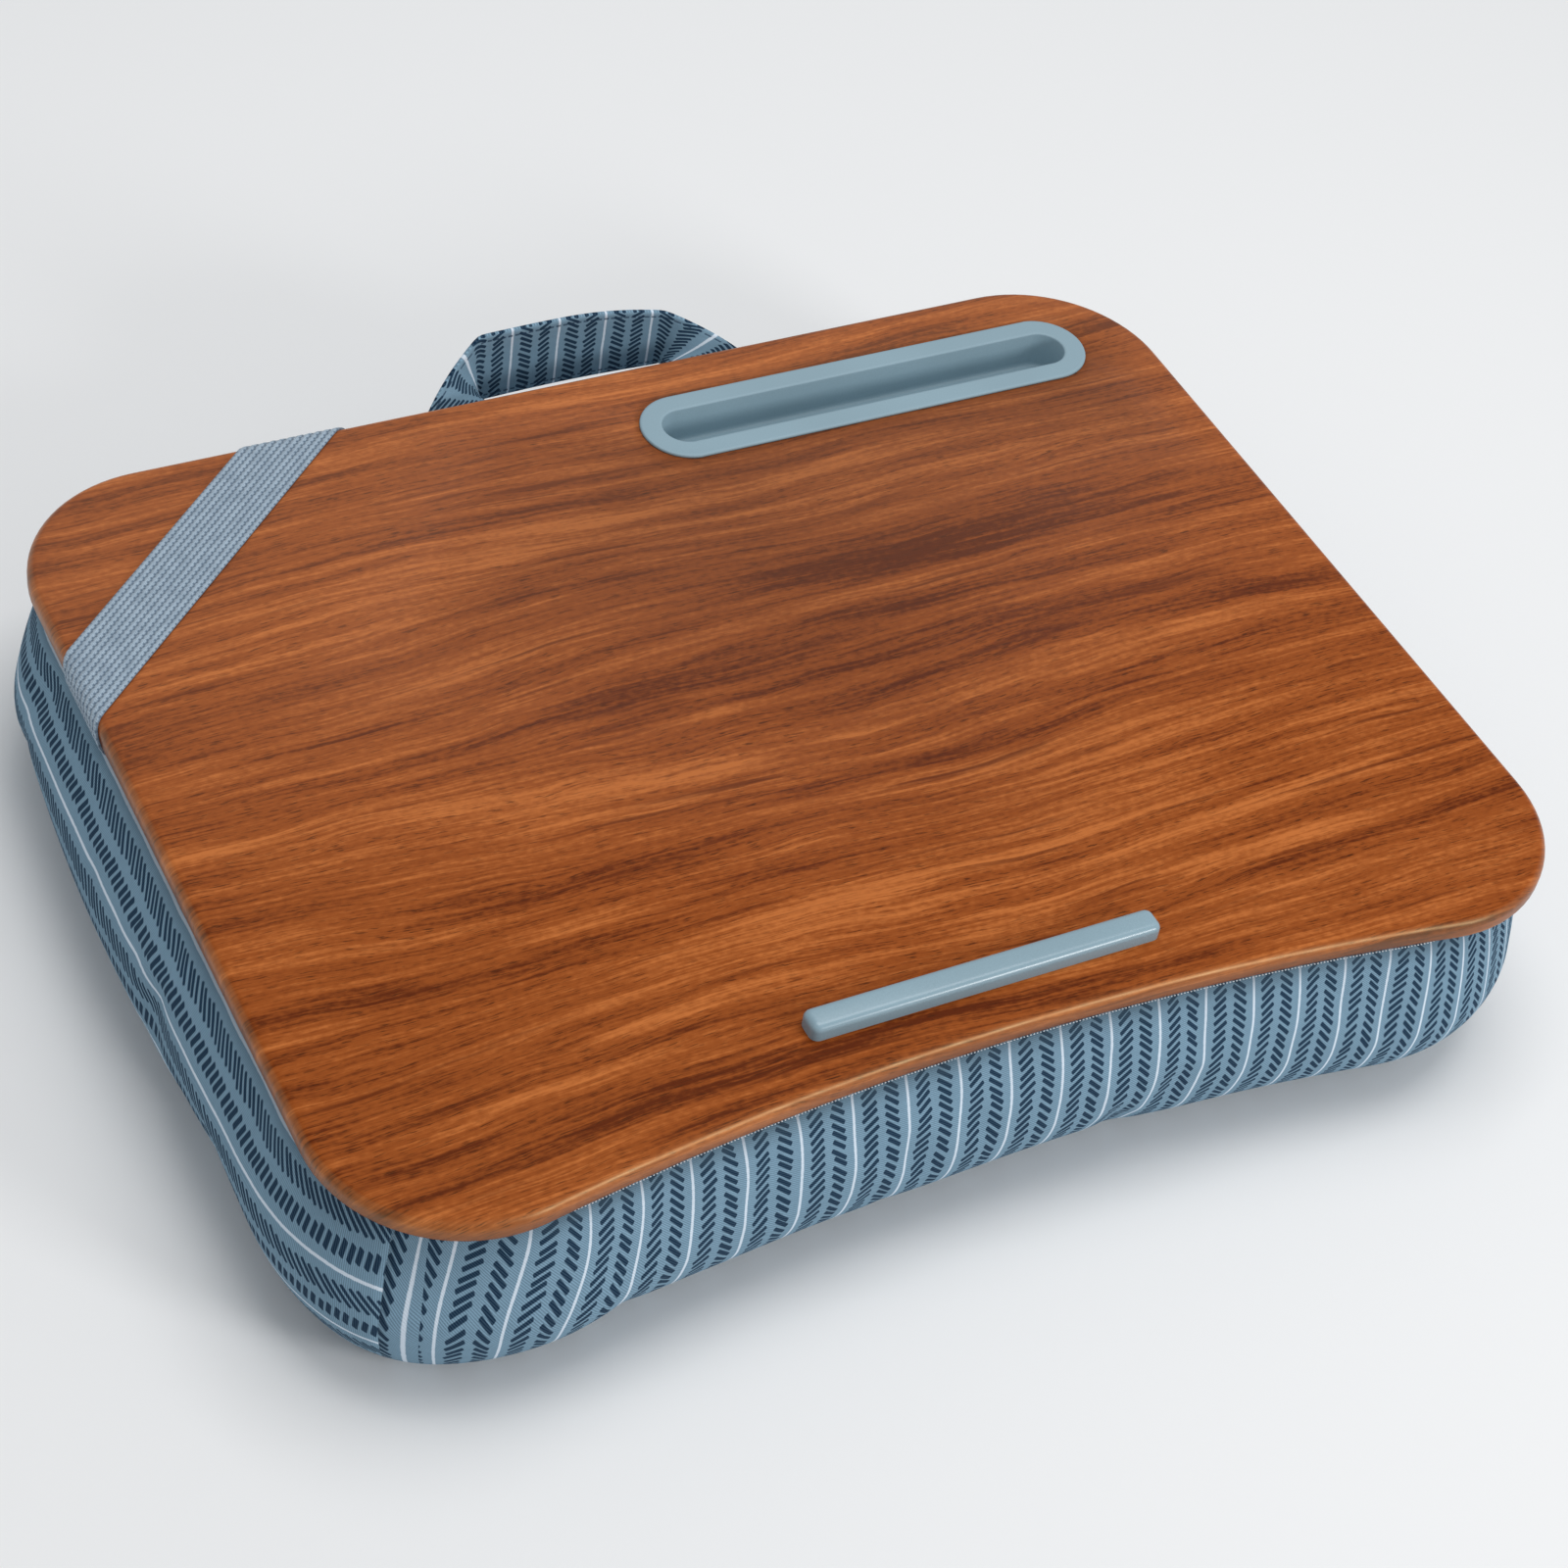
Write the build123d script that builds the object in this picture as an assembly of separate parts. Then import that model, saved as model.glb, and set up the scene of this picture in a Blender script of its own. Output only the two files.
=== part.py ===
from build123d import *
import os
from math import atan2, degrees, hypot, sqrt, tan

# Cushioned lap desk: a wood-grain board on a fabric cushion, with a phone slot, a device ledge,
# an elastic strap across one corner and a fabric carry handle at the back.
# Millimetres. +Z is up, +X is the user's right, -Y is the user's side.
# The origin is on the surface that the cushion rests on, under the middle of the board.

# ---- driving sizes --------------------------------------------------------------------------

# board
board_width = 445.0
board_depth = 349.0
board_thickness = 8.5
back_corner_radius = 51.7
front_corner_radius = 50.5
front_hollow_radius = 1000.0      # the front edge curves in towards the user's middle
top_round = 3.5
bottom_round = 2.5
film_thickness = 0.5              # wood-grain film over the top and round the edge
backing_thickness = 0.3
backing_margin = 8.0              # how far the film laps under the board

# cushion
cushion_height = 69.5
cushion_bulge = 9.0               # how far the cushion stands out past the board
cushion_corner_slack = 14.0       # extra corner radius of the cushion
cushion_under_round = 34.0
shoulder_run = 12.0               # the cover draws in to just under the board's edge
shoulder_rise = 28.0
shoulder_blend = 22.0
cover_thickness = 1.0
side_seam_inset = 27.5            # corner seams, in from the cushion's side
bottom_seam_height = 6.0
seam_tape_width = 10.0
seam_tape_thickness = 0.6
hem_width = 18.0
hem_thickness = 1.6
lining_thickness = 0.8
bag_thickness = 0.6
soft_gap = 0.1                    # between one soft layer and the next

# phone slot insert
slot_length = 169.4
slot_width = 18.0
slot_centre_x = 102.3
slot_back_margin = 39.0
slot_flange_width = 8.3
slot_flange_thickness = 1.2
slot_wall = 1.7
slot_pocket_depth = 15.0
slot_floor = 1.6
slot_fit = 0.3

# device ledge
ledge_length = 127.0
ledge_width = 9.8
ledge_height = 6.0
ledge_corner_radius = 3.0
ledge_edge_round = 2.4
ledge_setback = 20.7              # its middle, behind the middle of the front edge
screw_radius = 1.5
screw_head_radius = 3.0
screw_head_height = 1.8
screw_grip = 3.6                  # length of screw inside the ledge
screw_span = 90.0

# elastic strap
strap_width = 25.0
strap_thickness = 1.2
strap_left_reach = 99.7           # where its middle crosses the left edge, from the back edge
strap_back_reach = 111.6          # where its middle crosses the back edge, from the left edge
strap_end_margin = 7.0            # the free span starts this far in from each edge
strap_tail = 30.0

# carry handle
handle_centre_x = 7.0
handle_span = 76.0                # between the two folded corners
handle_band = 31.0
handle_thickness = 2.4
handle_splay = 2.0                # how far the ends stand in under the span's corners
handle_stand_off = 18.0           # from the hinge line to the span
handle_drop = 11.2                # the span's lower edge, below the hinge line
handle_hinge_setback = 2.5        # hinge line, behind the board's back edge
handle_tab = 18.0                 # sewn end, under the board
handle_hinge_gap = 0.3
webbing_thickness = 1.0

# staples
staple_crown = 10.0
staple_wire = 0.6
staple_leg = 5.0                  # length inside the board
staple_pitch = 62.0
staple_inset = 11.0               # from the board's edge

# ---- worked out from the above ----------------------------------------------------------------

half_width = board_width / 2
half_depth = board_depth / 2
board_bottom = cushion_height
board_top = board_bottom + board_thickness
front_corner_y = -half_depth + front_corner_radius
hollow_centre_y = front_corner_y - sqrt(
    (front_hollow_radius + front_corner_radius) ** 2 - (half_width - front_corner_radius) ** 2
)
front_middle_y = hollow_centre_y + front_hollow_radius
slot_y = half_depth - slot_back_margin
slot_top = board_top + slot_flange_thickness
slot_floor_top = slot_top - slot_pocket_depth
ledge_y = front_middle_y + ledge_setback
strap_angle = degrees(atan2(strap_left_reach, strap_back_reach))
strap_left = Vector(-half_width, half_depth - strap_left_reach)
strap_back = Vector(-half_width + strap_back_reach, half_depth)
shoulder_lean = atan2(shoulder_run, shoulder_rise)
blend_reach = shoulder_blend * tan(shoulder_lean / 2)
under_round = min(cushion_under_round, cushion_height - shoulder_rise - blend_reach - soft_gap)
seam_x = half_width + cushion_bulge - side_seam_inset
hem_bottom = board_bottom - hem_thickness
lining_bottom = hem_bottom - lining_thickness
hinge_y = half_depth + handle_hinge_setback
hinge_z = board_bottom - hem_thickness / 2
span_y = hinge_y + handle_stand_off
span_bottom = hinge_z - handle_drop
span_top = span_bottom + handle_band
big = 2 * (board_width + board_depth)


# ---- shapes used by more than one piece ---------------------------------------------------------

def outline(grow=0.0, slack=0.0):
    """The board's plan shape, grown on all sides, with the corners slackened by a larger radius."""
    side = half_width + grow
    back = half_depth + grow
    r_back = back_corner_radius + grow + slack
    r_front = front_corner_radius + grow + slack
    r_hollow = front_hollow_radius - grow
    y_front = hollow_centre_y + sqrt((r_hollow + r_front) ** 2 - (side - r_front) ** 2)
    y_back = back - r_back
    lean = degrees(atan2(y_front - hollow_centre_y, side - r_front))
    wrap = 180 - lean
    front = CenterArc((0, hollow_centre_y), r_hollow, lean, 180 - 2 * lean)
    corners = [
        CenterArc((side - r_front, y_front), r_front, 360 - wrap, wrap),
        CenterArc((side - r_back, y_back), r_back, 0, 90),
        CenterArc((-side + r_back, y_back), r_back, 90, 90),
        CenterArc((-side + r_front, y_front), r_front, 180, wrap),
    ]
    lines = [
        Line((side, y_front), (side, y_back)),
        Line((side - r_back, back), (-side + r_back, back)),
        Line((-side, y_back), (-side, y_front)),
    ]
    return make_face([front, *corners, *lines])


def slab(face, bottom, top):
    """A flat piece of the given plan shape between two heights."""
    return Pos(0, 0, bottom) * extrude(face, top - bottom)


def block(x_range, y_range, z_range):
    """A plain block given by its lowest and highest corners."""
    size = [b - a for a, b in (x_range, y_range, z_range)]
    middle = [(a + b) / 2 for a, b in (x_range, y_range, z_range)]
    return Pos(*middle) * Box(*size)


def ring_edges(part, height):
    """The edges of a part that lie flat at one height."""
    return [e for e in part.edges() if abs(e.bounding_box().min.Z - height) < 1e-3
            and abs(e.bounding_box().max.Z - height) < 1e-3]


def board_form(grow=0.0, bottom=board_bottom, top=board_top):
    """The board's solid shape with its rounded edges, grown or shrunk as one."""
    form = slab(outline(grow), bottom, top)
    form = fillet(ring_edges(form, top), top_round + grow)
    return fillet(ring_edges(form, bottom), bottom_round + grow)


def cushion_form(inset, top):
    """The cushion's solid shape, drawn in by an inset and cut flat at a height."""
    form = slab(outline(cushion_bulge - inset, cushion_corner_slack), inset, cushion_height)
    rim = form.faces().sort_by(Axis.Z)[-1]
    form = chamfer(rim.edges(), shoulder_run, shoulder_rise, reference=rim)
    form = fillet(ring_edges(form, cushion_height - shoulder_rise), shoulder_blend)
    form = fillet(ring_edges(form, inset), under_round - inset)
    if top < cushion_height:
        form = form & block((-big, big), (-big, big), (0, top))
    return form


def slot_form(grow, bottom, top):
    """A round-ended block about the phone slot's middle."""
    plan = SlotOverall(slot_length + 2 * grow, slot_width + 2 * grow)
    return Pos(slot_centre_x, slot_y, 0) * slab(plan, bottom, top)


def screw_places():
    """The two screws under the device ledge."""
    return [Pos(side * screw_span / 2, ledge_y, 0) for side in (-1, 1)]


def solid_of(shape):
    """A result as one plain solid or a group of them."""
    found = shape.solids()
    return found[0] if len(found) == 1 else Compound(children=list(found))


# ---- board ----------------------------------------------------------------------------------------

def screw():
    """One countersunk screw, head down, driven up through the board into the ledge."""
    head_top = board_bottom + screw_head_height
    head = Pos(0, 0, board_bottom + screw_head_height / 2) * Cone(
        screw_head_radius, screw_radius, screw_head_height
    )
    shank_length = board_top + screw_grip - head_top
    shank = Pos(0, 0, head_top + shank_length / 2) * Cylinder(screw_radius, shank_length)
    recess_depth = screw_head_height / 2
    recess = Pos(0, 0, board_bottom + recess_depth / 2) * (
        Box(screw_head_radius, staple_wire, recess_depth)
        + Box(staple_wire, screw_head_radius, recess_depth)
    )
    return head + shank - recess


def screw_hole():
    """The board's hole for one screw, the same size as its body."""
    head_top = board_bottom + screw_head_height
    sink = Pos(0, 0, board_bottom + screw_head_height / 2) * Cone(
        screw_head_radius, screw_radius, screw_head_height
    )
    length = board_top - head_top
    return sink + Pos(0, 0, head_top + length / 2) * Cylinder(screw_radius, length)


def board_cuts():
    """Everything that passes through the board."""
    cuts = [slot_form(slot_wall + slot_fit, board_bottom, board_top)]
    cuts += [place * screw_hole() for place in screw_places()]
    return cuts


def backing_form():
    return slab(outline(-backing_margin), board_bottom, board_bottom + backing_thickness)


def board_core_form():
    """The fibreboard inside the film."""
    return board_form(-film_thickness, board_bottom + backing_thickness, board_top - film_thickness)


def board_core():
    return board_core_form() - board_cuts()


def woodgrain_film():
    return board_form() - board_core_form() - backing_form() - board_cuts()


def backing_sheet():
    return backing_form() - board_cuts()


# ---- phone slot insert and device ledge -------------------------------------------------------------

def phone_slot_insert():
    """A tray that drops into the board's slot, hung on its flat flange."""
    flange = slot_form(slot_flange_width, board_top, slot_top)
    flange = fillet(ring_edges(flange, slot_top), slot_flange_thickness / 2)
    tray = slot_form(slot_wall, slot_floor_top - slot_floor, board_top)
    tray = fillet(ring_edges(tray, slot_floor_top - slot_floor), slot_wall)
    pocket = slot_form(0, slot_floor_top, slot_top)
    body = flange + tray - pocket
    mouth_limit = slot_width + slot_flange_width
    mouth = [e for e in ring_edges(body, slot_top) if e.bounding_box().size.Y < mouth_limit]
    return fillet(mouth, slot_flange_thickness / 2)


def device_ledge():
    """A bar that stops things sliding off the front."""
    plan = RectangleRounded(ledge_length, ledge_width, ledge_corner_radius)
    bar = Pos(0, ledge_y, 0) * slab(plan, board_top, board_top + ledge_height)
    bar = fillet(ring_edges(bar, board_top + ledge_height), ledge_edge_round)
    pilot = Pos(0, 0, board_top + screw_grip / 2) * Cylinder(screw_radius, screw_grip)
    return bar - [place * pilot for place in screw_places()]


def ledge_screws():
    return Compound(children=[place * screw() for place in screw_places()])


# ---- elastic strap ------------------------------------------------------------------------------------

def strap_band(middle, angle, z_range):
    """The strap's straight track through a point, seen from above."""
    track = block((-big, big), (-strap_width / 2, strap_width / 2), z_range)
    return Pos(middle.X, middle.Y, 0) * Rot(0, 0, angle) * track


def strap_skin():
    """A layer one strap thick all round the board."""
    grown = board_form(strap_thickness, board_bottom - strap_thickness, board_top + strap_thickness)
    return grown - board_form()


def elastic_strap_span():
    """The free stretch that lifts to let papers under it."""
    track = strap_band(strap_left, strap_angle, (board_top, board_top + strap_thickness))
    inside = block(
        (-half_width + strap_end_margin, big),
        (-big, half_depth - strap_end_margin),
        (board_top, board_top + strap_thickness),
    )
    return track & inside


def strap_wrap(edge_point, reach):
    """One end of the strap: over the board's edge and along its underside to its tail."""
    middle_z = (board_top + board_bottom) / 2
    over = strap_band(edge_point, strap_angle, (middle_z, board_top + strap_thickness))
    under = strap_band(edge_point, -strap_angle, (board_bottom - strap_thickness, middle_z))
    return strap_skin() & (over + under) & reach


def strap_left_end():
    margin = -half_width + strap_end_margin
    upper = block((-big, margin), (-big, half_depth), (board_bottom, big))
    lower = block((-big, -half_width + strap_tail), (-big, half_depth), (0, board_bottom))
    return strap_wrap(strap_left, upper + lower)


def strap_back_end():
    margin = half_depth - strap_end_margin
    upper = block((-half_width, big), (margin, big), (board_bottom, big))
    lower = block((-half_width, big), (half_depth - strap_tail, big), (0, board_bottom))
    return strap_wrap(strap_back, upper + lower)


# ---- carry handle ---------------------------------------------------------------------------------------

def handle_end(side):
    """One end: flat where it is sewn in, folded upright to meet the span."""
    inner_x = handle_centre_x + side * (handle_span / 2 - handle_splay)
    corner_x = handle_centre_x + side * handle_span / 2
    outer = Vector(inner_x + side * handle_band, hinge_y, hinge_z)
    inner = Vector(inner_x, hinge_y, hinge_z)
    top = Vector(corner_x, span_y, span_top)
    low = Vector(corner_x, span_y, span_bottom)
    folds = [Face(Wire.make_polygon(corners, close=True))
             for corners in ((outer, inner, top), (inner, low, top))]
    roll = Pos((inner + outer) / 2) * Rot(0, 90, 0) * Cylinder(hem_thickness / 2, handle_band)
    return [extrude(fold, hem_thickness / 2, both=True) for fold in folds] + [roll]


def webbing():
    half = handle_span / 2 - webbing_thickness
    return block(
        (handle_centre_x - half, handle_centre_x + half),
        (span_y - webbing_thickness / 2, span_y + webbing_thickness / 2),
        (span_bottom + webbing_thickness, span_top - webbing_thickness),
    )


def carry_handle():
    span = block(
        (handle_centre_x - handle_span / 2, handle_centre_x + handle_span / 2),
        (span_y - handle_thickness / 2, span_y + handle_thickness / 2),
        (span_bottom, span_top),
    )
    return span + handle_end(-1) + handle_end(1) - webbing()


def handle_tabs():
    """The handle's sewn ends, flat under the board's back edge."""
    tab_back = hinge_y - hem_thickness / 2 - handle_hinge_gap
    tabs = []
    for side in (-1, 1):
        near = handle_centre_x + side * (handle_span / 2 - handle_splay)
        far = near + side * handle_band
        tabs.append(block(sorted((near, far)), (half_depth - handle_tab, tab_back),
                          (hem_bottom, board_bottom)))
    return tabs


# ---- staples ----------------------------------------------------------------------------------------------

def staple(crown_bottom):
    """One staple, crown down, legs up in the board."""
    top = board_bottom + staple_leg
    bar = block((-staple_crown / 2, staple_crown / 2), (-staple_wire / 2, staple_wire / 2),
                (crown_bottom, crown_bottom + staple_wire))
    legs = [block(sorted((side * staple_crown / 2, side * (staple_crown / 2 - staple_wire))),
                  (-staple_wire / 2, staple_wire / 2), (crown_bottom, top)) for side in (-1, 1)]
    return bar + legs


def clear_of_ends(x, y):
    """Whether a hem staple here misses the strap's tails and the handle's tabs."""
    room = staple_crown / 2 + strap_width
    by_strap = any(hypot(x - end.X, y - end.Y) < room + strap_tail for end in (strap_left, strap_back))
    reach = handle_span / 2 + handle_band + staple_crown
    return not by_strap and not (y > 0 and abs(x - handle_centre_x) < reach)


def hem_staples():
    rail = outline(-staple_inset).face().outer_wire()
    count = round(rail.length / staple_pitch)
    placed = []
    for step in range(count):
        at = rail.position_at((step + 0.5) / count)
        along = rail.tangent_at((step + 0.5) / count)
        if clear_of_ends(at.X, at.Y):
            turn = degrees(atan2(along.Y, along.X))
            placed.append(Pos(at.X, at.Y, 0) * Rot(0, 0, turn) * staple(hem_bottom))
    return placed


def strap_staples():
    """Two across each tail of the strap."""
    bottom = board_bottom - strap_thickness
    placed = []
    for edge_point, reach in ((strap_left, strap_tail), (strap_back, strap_tail)):
        along = Vector(1, 0).rotate(Axis.Z, -strap_angle)
        inward = along.X if edge_point is strap_left else -along.Y
        for share in (0.5, 0.75):
            at = edge_point + along * (share * reach / inward)
            placed.append(Pos(at.X, at.Y, 0) * Rot(0, 0, 90 - strap_angle) * staple(bottom))
    return placed


def handle_staples():
    """Two side by side in each tab."""
    placed = []
    for side in (-1, 1):
        middle = handle_centre_x + side * (handle_span / 2 - handle_splay + handle_band / 2)
        for offset in (-handle_band / 4, handle_band / 4):
            placed.append(Pos(middle + offset, half_depth - staple_inset, 0) * staple(hem_bottom))
    return placed


# ---- cushion -------------------------------------------------------------------------------------------------

def side_region(side, widen=0.0):
    """The part of the cover that is a side panel: outside the corner seams, above the lower seam."""
    return block(sorted((side * (seam_x - widen), side * big)), (-big, big),
                 (bottom_seam_height - widen, big))


def cover_shell():
    return cushion_form(0, hem_bottom) - cushion_form(cover_thickness, cushion_height)


def cover_hem_form():
    """The cover's turned-in edge, flat against the board."""
    rim = cushion_form(0, cushion_height) & block((-big, big), (-big, big), (hem_bottom, board_bottom))
    grow = cushion_bulge - shoulder_run - hem_width
    return rim - slab(outline(grow), hem_bottom, board_bottom)


def insert_recess(grow):
    """Room in the cushion for the phone slot's tray."""
    return slot_form(slot_wall + slot_fit + grow, slot_floor_top - slot_floor - slot_fit - grow,
                     board_bottom)


def seam_tape(side):
    """Binding sewn inside along one side panel's seams."""
    outer = cover_thickness + soft_gap
    top = hem_bottom - seam_tape_width
    band = cushion_form(outer, top) - cushion_form(outer + seam_tape_thickness, cushion_height)
    half = seam_tape_width / 2
    return band & (side_region(side, half) - side_region(side, -half))


def filling_form(extra, grow):
    """The inner bag's shape, with its dent for the phone slot's tray."""
    inset = cover_thickness + seam_tape_thickness + 2 * soft_gap + extra
    return cushion_form(inset, lining_bottom - soft_gap - extra) - insert_recess(grow)


def cushion_lining():
    """The plain sheet that closes the cover under the board."""
    inside = cushion_form(cover_thickness, hem_bottom)
    sheet = inside & block((-big, big), (-big, big), (lining_bottom, hem_bottom))
    return sheet - insert_recess(soft_gap)


# ---- all pieces ------------------------------------------------------------------------------------------------

def build():
    """Each node's name with its solid or solids."""
    left_end = strap_left_end()
    back_end = strap_back_end()
    tabs = handle_tabs()
    hem_row = hem_staples()
    strap_row = strap_staples()
    handle_row = handle_staples()
    staples = hem_row + strap_row + handle_row
    ends = [left_end, back_end, *tabs]
    shell = cover_shell() - ends
    bag = filling_form(0, 0)
    filling = filling_form(bag_thickness, bag_thickness)
    pieces = {
        "board_core": board_core() - staples,
        "woodgrain_film": woodgrain_film() - staples,
        "backing_sheet": backing_sheet() - staples,
        "phone_slot_insert": phone_slot_insert(),
        "device_ledge": device_ledge(),
        "ledge_screws": ledge_screws(),
        "elastic_strap_span": elastic_strap_span(),
        "elastic_strap_left_end": left_end - strap_row,
        "elastic_strap_back_end": back_end - strap_row,
        "strap_staples": Compound(children=strap_row),
        "cover_side_left": shell & side_region(-1),
        "cover_side_right": shell & side_region(1),
        "cover_front_bottom_back": shell - side_region(-1) - side_region(1),
        "cover_hem": cover_hem_form() - ends - hem_row,
        "hem_staples": Compound(children=hem_row),
        "seam_tape_left": seam_tape(-1),
        "seam_tape_right": seam_tape(1),
        "cushion_lining": cushion_lining(),
        "filling_bag": bag - filling,
        "cushion_filling": filling,
        "carry_handle": carry_handle(),
        "handle_webbing": webbing(),
        "handle_tabs": Compound(children=[tab - handle_row for tab in tabs]),
        "handle_staples": Compound(children=handle_row),
    }
    return {name: solid_of(shape) for name, shape in pieces.items()}


os.makedirs("parts", exist_ok=True)
for node, piece in build().items():
    export_step(piece, f"parts/{node}.step")
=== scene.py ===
"""Cushioned lap desk: a walnut-film board on a printed fabric cushion, with a phone slot, a device
ledge, an elastic corner strap and a carry handle.

Laid out as an add-on: each part of the desk is one operator, the sizes and colours are properties,
and the sidebar panel lists them. Metres. +Z is up, +X is the user's right, -Y is the user's side."""

import math

import bmesh
import bpy
from bpy.props import FloatProperty, FloatVectorProperty, IntProperty, PointerProperty
from mathutils import Matrix, Vector


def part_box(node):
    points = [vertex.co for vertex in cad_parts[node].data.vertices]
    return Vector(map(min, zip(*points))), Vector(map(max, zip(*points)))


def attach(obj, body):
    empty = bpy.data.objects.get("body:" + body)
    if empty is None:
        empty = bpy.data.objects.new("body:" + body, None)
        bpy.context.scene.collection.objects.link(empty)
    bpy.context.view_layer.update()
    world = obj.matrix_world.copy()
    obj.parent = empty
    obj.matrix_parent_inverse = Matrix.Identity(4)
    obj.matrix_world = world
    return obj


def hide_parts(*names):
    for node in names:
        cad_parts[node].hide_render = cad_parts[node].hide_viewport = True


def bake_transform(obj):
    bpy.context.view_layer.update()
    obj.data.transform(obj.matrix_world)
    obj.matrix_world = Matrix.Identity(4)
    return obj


bl_info = {
    "name": "Cushioned Lap Desk",
    "version": (1, 0, 0),
    "blender": (4, 5, 0),
    "location": "View3D > Sidebar > Lap Desk",
    "description": "Builds a lap desk's board, fittings, strap, handle and cushion",
    "category": "Add Mesh",
}

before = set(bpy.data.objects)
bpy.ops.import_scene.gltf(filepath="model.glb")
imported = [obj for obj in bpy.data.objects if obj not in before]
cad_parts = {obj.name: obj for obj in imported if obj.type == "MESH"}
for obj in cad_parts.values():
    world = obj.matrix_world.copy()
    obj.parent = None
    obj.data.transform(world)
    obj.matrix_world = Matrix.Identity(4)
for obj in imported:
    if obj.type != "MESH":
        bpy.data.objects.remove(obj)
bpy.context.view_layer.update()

BOARD_LOW, BOARD_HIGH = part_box("woodgrain_film")
SLOT_LOW, SLOT_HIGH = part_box("phone_slot_insert")
LEDGE_LOW, LEDGE_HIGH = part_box("device_ledge")
HANDLE_LOW, HANDLE_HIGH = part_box("carry_handle")
TABS_LOW, TABS_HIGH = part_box("handle_tabs")

HALF_WIDTH = BOARD_HIGH.x
HALF_DEPTH = BOARD_HIGH.y
BOARD_TOP = BOARD_HIGH.z
BOARD_BOTTOM = BOARD_LOW.z
QUARTER = math.pi / 2


def tint(red, green, blue):
    """A display colour, each part from 0 to 255, as the linear colour that a shader takes."""
    shares = [part / 255 for part in (red, green, blue)]
    return tuple(s / 12.92 if s <= 0.04045 else ((s + 0.055) / 1.055) ** 2.4 for s in shares)


# ---- sizes and colours ------------------------------------------------------------------------

class BoardSettings(bpy.types.PropertyGroup):
    """The wood-grain board."""
    back_corner: FloatProperty(
        name="Back corner", description="Radius of the two back corners",
        default=0.0517, unit="LENGTH", precision=4)
    front_corner: FloatProperty(
        name="Front corner", description="Radius of the two front corners",
        default=0.0505, unit="LENGTH", precision=4)
    front_hollow: FloatProperty(
        name="Front hollow", description="Radius of the front edge's inward curve",
        default=1.0, unit="LENGTH")
    top_round: FloatProperty(
        name="Top round", description="Rounding along the board's upper edge",
        default=0.0035, unit="LENGTH", precision=4)
    bottom_round: FloatProperty(
        name="Bottom round", description="Rounding along the board's lower edge",
        default=0.0025, unit="LENGTH", precision=4)
    film: FloatProperty(
        name="Film", description="Thickness of the wood-grain film",
        default=0.0005, unit="LENGTH", precision=4)
    lap: FloatProperty(
        name="Lap", description="How far the film turns in under the board",
        default=0.008, unit="LENGTH", precision=4)
    # Dark grain is also the colour of the painted shade down the board's edge.
    dark_grain_and_edge_shade: FloatVectorProperty(
        name="Dark grain", description="Colour of the darkest streaks",
        default=tint(92, 34, 8), subtype="COLOR", size=3, min=0, max=1)
    mid_grain: FloatVectorProperty(
        name="Mid grain", description="Colour of most of the film",
        default=tint(148, 74, 28), subtype="COLOR", size=3, min=0, max=1)
    pore: FloatVectorProperty(
        name="Pore", description="Colour of the short dark pores",
        default=tint(66, 26, 8), subtype="COLOR", size=3, min=0, max=1)
    light_grain: FloatVectorProperty(
        name="Light grain", description="Colour of the palest bands",
        default=tint(192, 110, 54), subtype="COLOR", size=3, min=0, max=1)


class FittingSettings(bpy.types.PropertyGroup):
    """The phone slot's tray and the device ledge."""
    flange: FloatProperty(
        name="Flange", description="Width of the flat rim round the phone slot",
        default=0.0083, unit="LENGTH", precision=4)
    flange_thickness: FloatProperty(
        name="Flange thickness", description="How far the rim stands above the board",
        default=0.0012, unit="LENGTH", precision=4)
    wall: FloatProperty(
        name="Tray wall", description="Thickness of the tray's side",
        default=0.0017, unit="LENGTH", precision=4)
    floor: FloatProperty(
        name="Tray floor", description="Thickness of the tray's floor",
        default=0.0016, unit="LENGTH", precision=4)
    ledge_corner: FloatProperty(
        name="Ledge corner", description="Radius of the ledge's upright corners",
        default=0.003, unit="LENGTH", precision=4)
    ledge_round: FloatProperty(
        name="Ledge round", description="Rounding along the ledge's upper edge",
        default=0.0026, unit="LENGTH", precision=4)
    plastic: FloatVectorProperty(
        name="Plastic", description="Colour of the moulded blue-grey plastic",
        default=tint(142, 168, 180), subtype="COLOR", size=3, min=0, max=1)


class StrapSettings(bpy.types.PropertyGroup):
    """The elastic strap across one back corner."""
    width: FloatProperty(
        name="Width", description="Width of the elastic", default=0.025, unit="LENGTH", precision=4)
    thickness: FloatProperty(
        name="Thickness", description="Thickness of the elastic at its ribs",
        default=0.0012, unit="LENGTH", precision=4)
    left_reach: FloatProperty(
        name="Left reach", description="Where it crosses the left edge, from the back edge",
        default=0.0997, unit="LENGTH", precision=4)
    back_reach: FloatProperty(
        name="Back reach", description="Where it crosses the back edge, from the left edge",
        default=0.1116, unit="LENGTH", precision=4)
    tail: FloatProperty(
        name="Tail", description="How far each end runs in under the board",
        default=0.03, unit="LENGTH", precision=4)
    ribs: IntProperty(
        name="Ribs", description="Lengthwise ribs across the width", default=11, min=3)
    cord: FloatVectorProperty(
        name="Cord", description="Colour of the ribs",
        default=tint(170, 188, 203), subtype="COLOR", size=3, min=0, max=1)
    # Gap is also the colour of the painted shade in the grooves between the ribs.
    gap: FloatVectorProperty(
        name="Gap", description="Colour between and across the ribs",
        default=tint(84, 104, 124), subtype="COLOR", size=3, min=0, max=1)


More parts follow.
